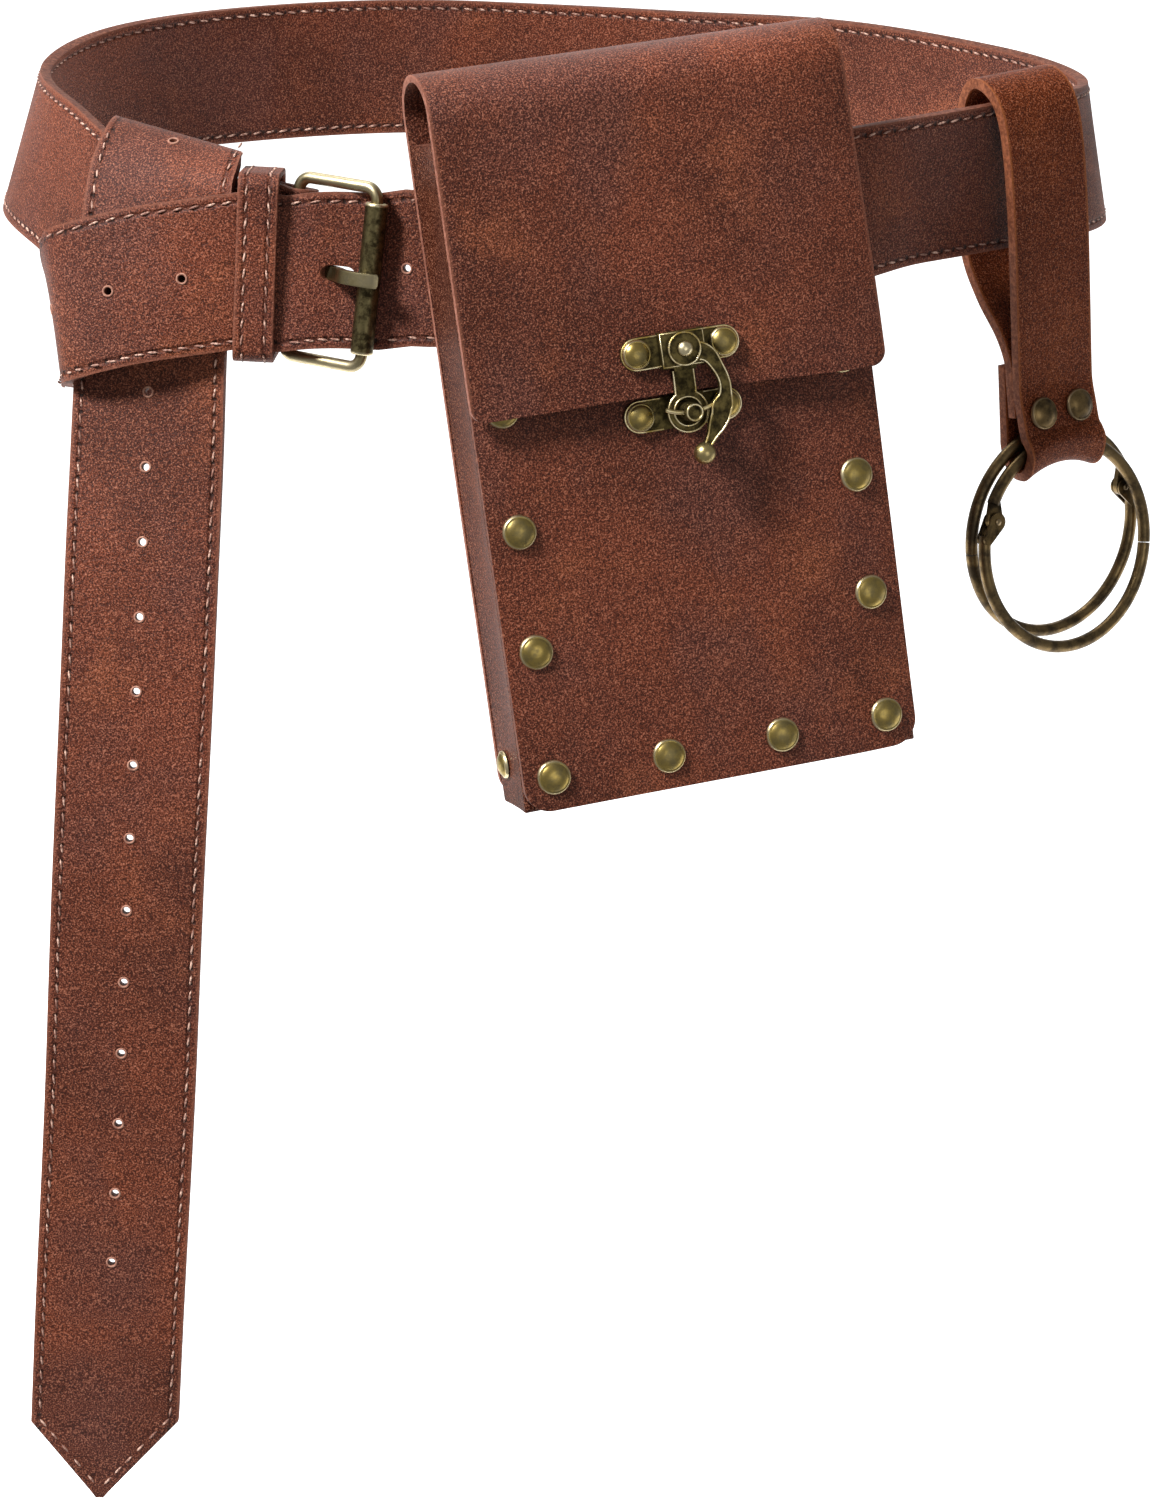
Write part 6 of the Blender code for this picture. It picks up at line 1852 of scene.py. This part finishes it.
def dress_plate_rims(looks):
    """The bright raised rims of both clasp plates."""
    place = pouch_matrix()
    outer = plate_faces(flap_face_y())[0]
    z = clasp_pivot_z()
    for side, word in ((-1, "left"), (1, "right")):
        line = bar_end_line(side, CLASP_BRIDGE_HALF, outer, z)
        raised_line(looks, f"upper_bar_rim_{word}", line, "belt", place)
        line = bar_end_line(side, CLASP_EYE + RIM_WIRE, plate_faces(0.0)[0], clasp_post_z())
        raised_line(looks, f"lower_bar_rim_{word}", line, "belt", place)
    low, high = z - CLASP_PLATE_END, z + CLASP_PLATE_END
    across = CLASP_BRIDGE_HALF - RIM_WIRE
    corners = ((-across, low), (-across, high), (across, high), (across, low))
    block_line = [Vector((CLASP_X + x, bridge_top_y(), height)) for x, height in corners]
    raised_line(looks, "bridge_rim", block_line, "belt", place, True)
    half = CLASP_NECK_HALF - RIM_WIRE
    opening = math.degrees(math.asin(min(0.95, half / (CLASP_EYE - RIM_WIRE))))
    radius = CLASP_EYE - RIM_WIRE
    eye = arc_points(CLASP_X, outer, clasp_post_z(), radius, 90.0 - opening, opening - 270.0, 48)
    neck_top = z - CLASP_PLATE_END
    begin = Vector((CLASP_X + half, outer, neck_top))
    end = Vector((CLASP_X - half, outer, neck_top))
    raised_line(looks, "eye_rim", [begin] + eye + [end], "belt", place)
    hole = arc_points(CLASP_X, outer, clasp_post_z(), CLASP_EYE_HOLE + RIM_WIRE, 0.0, 352.5, 47)
    raised_line(looks, "eye_hole_rim", hole, "belt", place, True)
    post = arc_points(CLASP_X, lever_mid_y() - POST_RISE, clasp_post_z(), 0.82 * POST_SHOWN, 0.0, 350.0, 35)
    raised_line(looks, "post_rim", post, "belt", place, True)


def dress_upper_plate(looks):
    outer, inner = plate_faces(flap_face_y())
    z = clasp_pivot_z()
    turn = Matrix.Rotation(0.5 * math.pi, 4, "X")
    metal = (looks["brass_dark"],)
    ends = [(CLASP_X + side * CLASP_RIVET_OFF, z, CLASP_PLATE_END) for side in (-1, 1)]
    plate = add_mesh("clasp_flap_plate", hull(bmesh.new(), ends, outer, inner), metal)
    half = CLASP_BRIDGE_HALF
    end = CLASP_PLATE_END + 0.4 * MM
    t = CLASP_PLATE_THICK
    low = (CLASP_X - half, bridge_top_y(), z - end)
    join_block(plate, low, (CLASP_X + half, inner - BRIDGE_SINK, z + end), metal)
    neck_end = clasp_post_z() + 0.5 * (CLASP_EYE + CLASP_EYE_HOLE)
    low = (CLASP_X - CLASP_NECK_HALF, outer, neck_end)
    join_block(plate, low, (CLASP_X + CLASP_NECK_HALF, inner - NECK_SINK, z - 0.5 * end), metal)
    middle = 0.5 * (outer + inner)
    post = Matrix.Translation((CLASP_X, middle, clasp_post_z())) @ turn
    join_rod(plate, post, CLASP_EYE, t - EYE_SINK, 48, metal)
    bore(plate, post, CLASP_EYE_HOLE, 4 * t, 48, metal)
    low = (CLASP_X - half + t, bridge_top_y() + t, z - end - 0.1 * t)
    cut_block(plate, low, (CLASP_X + half - t, inner + t, z + 2 * end), metal)
    low = (CLASP_X - CLASP_NECK_HALF, bridge_top_y(), z - end - t)
    join_block(plate, low, (CLASP_X + CLASP_NECK_HALF, inner - NECK_SINK, z - end + t), metal)
    pivot = Matrix.Translation((CLASP_X, bridge_top_y(), z)) @ turn
    bore(plate, pivot, PIVOT_RADIUS + PIVOT_ROOM, 4 * t, 24, metal)
    for x, height in upper_plate_rivets():
        bore(plate, Matrix.Translation((x, middle, height)) @ turn, RIVET_HOLE, 4 * t, 24, metal)
    finish_plate(plate)
    put(plate, "belt", "brass_antique", "clasp_upper_plate")


def dress_lower_plate(looks):
    outer, inner = plate_faces(0.0)
    z = clasp_post_z()
    turn = Matrix.Rotation(0.5 * math.pi, 4, "X")
    metal = (looks["brass_dark"],)
    ends = [(CLASP_X + side * CLASP_RIVET_OFF, z, CLASP_PLATE_END) for side in (-1, 1)]
    plate = add_mesh("clasp_front_plate", hull(bmesh.new(), ends, outer, inner), metal)
    top = lever_mid_y() - POST_RISE
    length = inner - BRIDGE_SINK - top
    post = Matrix.Translation((CLASP_X, top + 0.5 * length, z)) @ turn
    join_rod(plate, post, POST_SHOWN, length, 40, metal)
    bore(plate, Matrix.Translation((CLASP_X, top, z)) @ turn, 0.6 * POST_SHOWN, POST_DISH, 32, metal)
    across = Matrix.Translation((CLASP_X, lever_mid_y(), z)) @ Matrix.Rotation(0.5 * math.pi, 4, "Y")
    bore(plate, across, SPUR_RADIUS + SPUR_ROOM, 3 * POST_RADIUS, 20, metal)
    for x, height in lower_plate_rivets():
        place = Matrix.Translation((x, 0.5 * (outer + inner), height)) @ turn
        bore(plate, place, RIVET_HOLE, 4 * CLASP_PLATE_THICK, 24, metal)
    finish_plate(plate)
    put(plate, "belt", "brass_antique", "clasp_lower_plate")


def lever_sections():
    sections = []
    steps = 8
    last = len(LEVER_ROWS) - 1
    for i in range(steps * last + 1):
        x, z, width = smooth(LEVER_ROWS, i / steps)
        ahead = Vector(smooth(LEVER_ROWS, min(i / steps + 0.1, last))[:2])
        behind = Vector(smooth(LEVER_ROWS, max(i / steps - 0.1, 0))[:2])
        way = (ahead - behind).normalized()
        across = Vector((-way.y, 0, way.x))
        sections.append((Vector((x, 0, z)) * CLASP_REACH, across, 0.5 * width * CLASP_REACH))
    return sections


def dress_lever(looks):
    """The hooked lever, with its spur through the post and its ball."""
    metal = (looks["brass_dark"],)
    sections = lever_sections()
    lever = lay_strap("clasp_hook", strap_grid(sections, 4), LEVER_THICK, metal * 2)
    turn = Matrix.Rotation(0.5 * math.pi, 4, "X")
    join_rod(lever, turn, LEVER_HEAD, LEVER_THICK + HEAD_RISE, 48, metal)
    bore(lever, turn, PIVOT_RADIUS + PIVOT_ROOM, 4 * LEVER_THICK, 24, metal)
    place = pouch_matrix() @ Matrix.Translation((CLASP_X, lever_mid_y(), clasp_pivot_z()))
    lever.data.transform(place)
    round_edges(lever, LEVER_ROUND, 2)
    put(lever, "lever", "brass_antique", "clasp_lever")
    face = Vector((0, -0.5 * LEVER_THICK, 0))
    for side, word in ((-1, "inner"), (1, "outer")):
        line = [face + spot + side * across * (half - RIM_WIRE) for spot, across, half in sections]
        line = [point for point in line if point.length > LEVER_HEAD]
        raised_line(looks, f"lever_rim_{word}", line, "lever", place)
    head = arc_points(0.0, face.y, 0.0, LEVER_HEAD - RIM_WIRE, 0.0, 352.5, 47)
    raised_line(looks, "lever_head_rim", head, "lever", place, True)
    points = []
    for k in range(25):
        angle = math.radians(29.0 - 54.0 * k / 24)
        points.append(Vector((math.sin(angle), 0, -math.cos(angle))) * CLASP_REACH)
    spur = wire_mesh("wire", points, SPUR_RADIUS, looks["brass_rim"], False, 5)
    spur.matrix_world = place
    spur = curve_to_piece(spur, "clasp_spur")
    soften(spur, 60)
    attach(spur, "lever")
    ball = Vector((LEVER_BALL_AT[0], 0, LEVER_BALL_AT[1])) * CLASP_REACH
    bm = bmesh.new()
    bmesh.ops.create_uvsphere(
        bm, u_segments=32, v_segments=20, radius=LEVER_BALL, matrix=place @ Matrix.Translation(ball)
    )
    ball = add_mesh("clasp_ball", bm, (looks["brass_gold"],))
    add_wear(ball, lambda co: 0.2)
    soften(ball, 80)
    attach(ball, "lever")


def dress_pivot(looks):
    front = lever_mid_y() - 0.5 * LEVER_THICK
    back = bridge_top_y() + CLASP_PLATE_THICK
    gap = PIECE_GAP
    profile = [(share * PIVOT_HEAD, front - gap - rise * MM) for share, rise in PIVOT_ROWS]
    profile += [(PIVOT_RADIUS, front - gap), (PIVOT_RADIUS, back + gap)]
    profile += [(PIVOT_HEAD, back + gap), (0.0, back + gap + CAP_EDGE)]
    matrix = pouch_matrix() @ Matrix.Translation((CLASP_X, 0, clasp_pivot_z()))
    made = add_mesh("clasp_pivot_stud", lathe(profile, 28, matrix, lambda r, y: 0.8), (looks["brass_gold"],))
    soften(made, 55)
    put(made, "belt", "brass_antique", "clasp_pivot")


# Hanger and rings


def hanger_sections():
    """The hanger strap's sections with their arch across the fold."""
    place = hanger_matrix()
    turn = place.to_3x3()
    sections, bows = [], []
    steps = 5
    last = len(HANGER_ROWS) - 1
    for i in range(steps * last + 1):
        out, down, bow = smooth(HANGER_ROWS, i / steps)
        sections.append((place @ hanger_point(out, down), turn @ Vector((1, 0, 0)), 0.5 * HANGER_WIDTH))
        bows.append(turn @ Vector((0, 0, FOLD_ARCH)) * min(max(bow, 0.0), 1.0))
    return sections, bows


def dress_hanger(looks):
    sections, bows = hanger_sections()
    strap = lay_strap(
        "hanger_leather_strap", strap_grid(sections, 12, bows), HANGER_THICK,
        (looks["hanger"], looks["hanger_edge"]),
    )
    round_edges(strap, HANGER_ROUND, 3)
    put(strap, "belt", "leather_hanger", "hanger_strap")


def ring_arc(start, end, radius, finish, name):
    steps = max(6, int(abs(end - start) / 3))
    points = [ring_spot(start + (end - start) * k / steps) for k in range(steps + 1)]
    return wire_mesh(name, points, radius, finish, False, 6)


def link(end_angle, low, high):
    """A flat link from the hinge pin to the end of the wire."""
    pin = hinge_spot()
    end = ring_spot(end_angle)
    rounds = ((pin.x, pin.z, HINGE_KNUCKLE), (end.x, end.z, 0.86 * RING_WIRE))
    return hull(bmesh.new(), rounds, low, high, 28)


def dress_ring(looks, name, side, swing):
    place = Matrix.Identity(4) if side > 0 else Matrix.Rotation(math.pi, 4, "Z")
    matrix = swing @ Matrix.Translation(ring_hang()) @ place
    seam = math.degrees(SEAM_GAP / RING_RADIUS)
    turn = Matrix.Rotation(0.5 * math.pi, 4, "X")
    metal = (looks["bronze"], looks["bronze_rim"])
    parts = (
        ("upper", name, SNAP_ANGLE + seam, HINGE_ANGLE - HINGE_CUT, ((-EYE_HALF, EYE_HALF),), -2),
        ("lower", f"{name}_gate", HINGE_ANGLE + HINGE_CUT, 360 + SNAP_ANGLE,
         ((-RING_WIRE - HEAD_RISE, -EAR_INNER), (EAR_INNER, RING_WIRE + HEAD_RISE)), 2),
    )
    for word, body, start, end, plates, shift in parts:
        wire = curve_to_piece(ring_arc(start, end, RING_WIRE, metal[0], "wire"), f"{name}_{word}_wire")
        wire.data.transform(matrix)
        add_wear(wire, lambda co: 0.1)
        soften(wire, 50)
        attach(wire, body)
        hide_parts(f"{name}_{word}")
        near = HINGE_ANGLE + (HINGE_CUT if shift > 0 else -HINGE_CUT) + shift
        for k, (low, high) in enumerate(plates):
            plate = add_mesh(f"{name}_{word}_link_{k + 1}", link(near, low, high), metal)
            hole = HINGE_PIN + HINGE_ROOM if shift < 0 else HINGE_PIN * 0.98
            bore(plate, Matrix.Translation(hinge_spot()) @ turn, hole, 4 * RING_WIRE, 24, metal)
            plate.data.transform(matrix)
            soften(plate, 30)
            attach(plate, body)
    pin = RING_WIRE + HINGE_PIN_OUT
    profile = [(0.0, -pin - HINGE_PIN_OUT), (0.7 * HINGE_PIN, -pin - HINGE_PIN_EDGE), (HINGE_PIN, -pin)]
    profile += [(HINGE_PIN, pin), (0.7 * HINGE_PIN, pin + HINGE_PIN_EDGE), (0.0, pin + HINGE_PIN_OUT)]
    hinge = matrix @ Matrix.Translation(hinge_spot())
    stud = add_mesh(f"{name}_hinge_pin", lathe(profile, 20, hinge, lambda r, y: 0.6), metal)
    soften(stud, 50)
    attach(stud, f"{name}_gate")


def dress_rings(looks):
    hanger = hanger_matrix()
    dress_ring(looks, "ring_front", 1, ring_swing_matrix(hanger, 0.5 * RING_SPREAD, 0.0, -RING_SPLAY))
    dress_ring(looks, "ring_back", -1, ring_swing_matrix(hanger, -0.5 * RING_SPREAD, RING_STACK, 0.0))


# Camera, light and floor


def make_camera():
    camera = bpy.data.cameras.new("camera")
    camera.lens = CAMERA_LENS
    camera.sensor_width = CAMERA_SENSOR
    camera.clip_start = 0.05
    camera.clip_end = 50.0
    made = bpy.data.objects.new("camera", camera)
    bpy.context.scene.collection.objects.link(made)
    made.location = CAMERA_PLACE
    made.rotation_euler = (math.radians(90.0 - CAMERA_PITCH), 0.0, 0.0)
    bpy.context.scene.camera = made


def area_light(name, place, target, size, power, color=(1.0, 1.0, 1.0)):
    light = bpy.data.lights.new(name, "AREA")
    light.shape = "DISK"
    light.size = size
    light.energy = power
    light.color = color
    made = bpy.data.objects.new(name, light)
    bpy.context.scene.collection.objects.link(made)
    made.location = place
    made.rotation_mode = "QUATERNION"
    made.rotation_quaternion = (Vector(target) - Vector(place)).to_track_quat("-Z", "Y")


def make_studio():
    low, _ = solid_bounds
    bm = bmesh.new()
    bmesh.ops.create_grid(bm, x_segments=1, y_segments=1, size=0.5 * FLOOR_SIZE)
    bmesh.ops.translate(bm, verts=bm.verts, vec=(0, 0.5 * FLOOR_SIZE - FLOOR_FRONT, low.z - FLOOR_DROP))
    far = [edge for edge in bm.edges if all(vert.co.y > 0.5 * FLOOR_SIZE for vert in edge.verts)]
    drawn = bmesh.ops.extrude_edge_only(bm, edges=far)["geom"]
    raised = [item for item in drawn if isinstance(item, bmesh.types.BMVert)]
    bmesh.ops.translate(bm, verts=raised, vec=(0, 0, FLOOR_SIZE))
    floor = Finish("pale_floor")
    pale = floor.done(
        Base_Color=(0.9, 0.9, 0.9),
        Roughness=0.9,
        Emission_Color=(1.0, 1.0, 1.0),
        Emission_Strength=BACKDROP_GLOW,
    )
    ground = add_mesh("floor", bm, (pale,))
    ground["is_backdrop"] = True
    world = bpy.data.worlds.new("studio")
    bpy.context.scene.world = world
    world.use_nodes = True
    background = world.node_tree.nodes["Background"]
    background.inputs["Color"].default_value = (1.0, 1.0, 1.0, 1.0)
    background.inputs["Strength"].default_value = 0.28
    area_light("key", (-1.1, -0.95, 1.3), (0.0, 0.0, -0.1), 0.5, 66.0)
    area_light("fill", (0.7, -1.6, 0.1), (0.1, 0.0, -0.1), 1.0, 3.0)
    area_light("top", (-0.3, 0.5, 1.3), (0.0, 0.0, 0.0), 0.9, 6.0)
    bpy.context.scene.view_settings.view_transform = "Standard"


def main():
    looks = make_finishes()
    dress_belt(looks)
    dress_hanging_end(looks)
    dress_keeper(looks)
    dress_buckle(looks)
    dress_front(looks)
    dress_gusset(looks)
    dress_flap(looks)
    dress_loops(looks)
    dress_rivets(looks)
    dress_upper_plate(looks)
    dress_lower_plate(looks)
    dress_plate_rims(looks)
    dress_lever(looks)
    dress_pivot(looks)
    dress_hanger(looks)
    dress_rings(looks)
    make_camera()
    make_studio()


main()

[[list(corner) for corner in box] for box in (solid_bounds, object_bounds())]
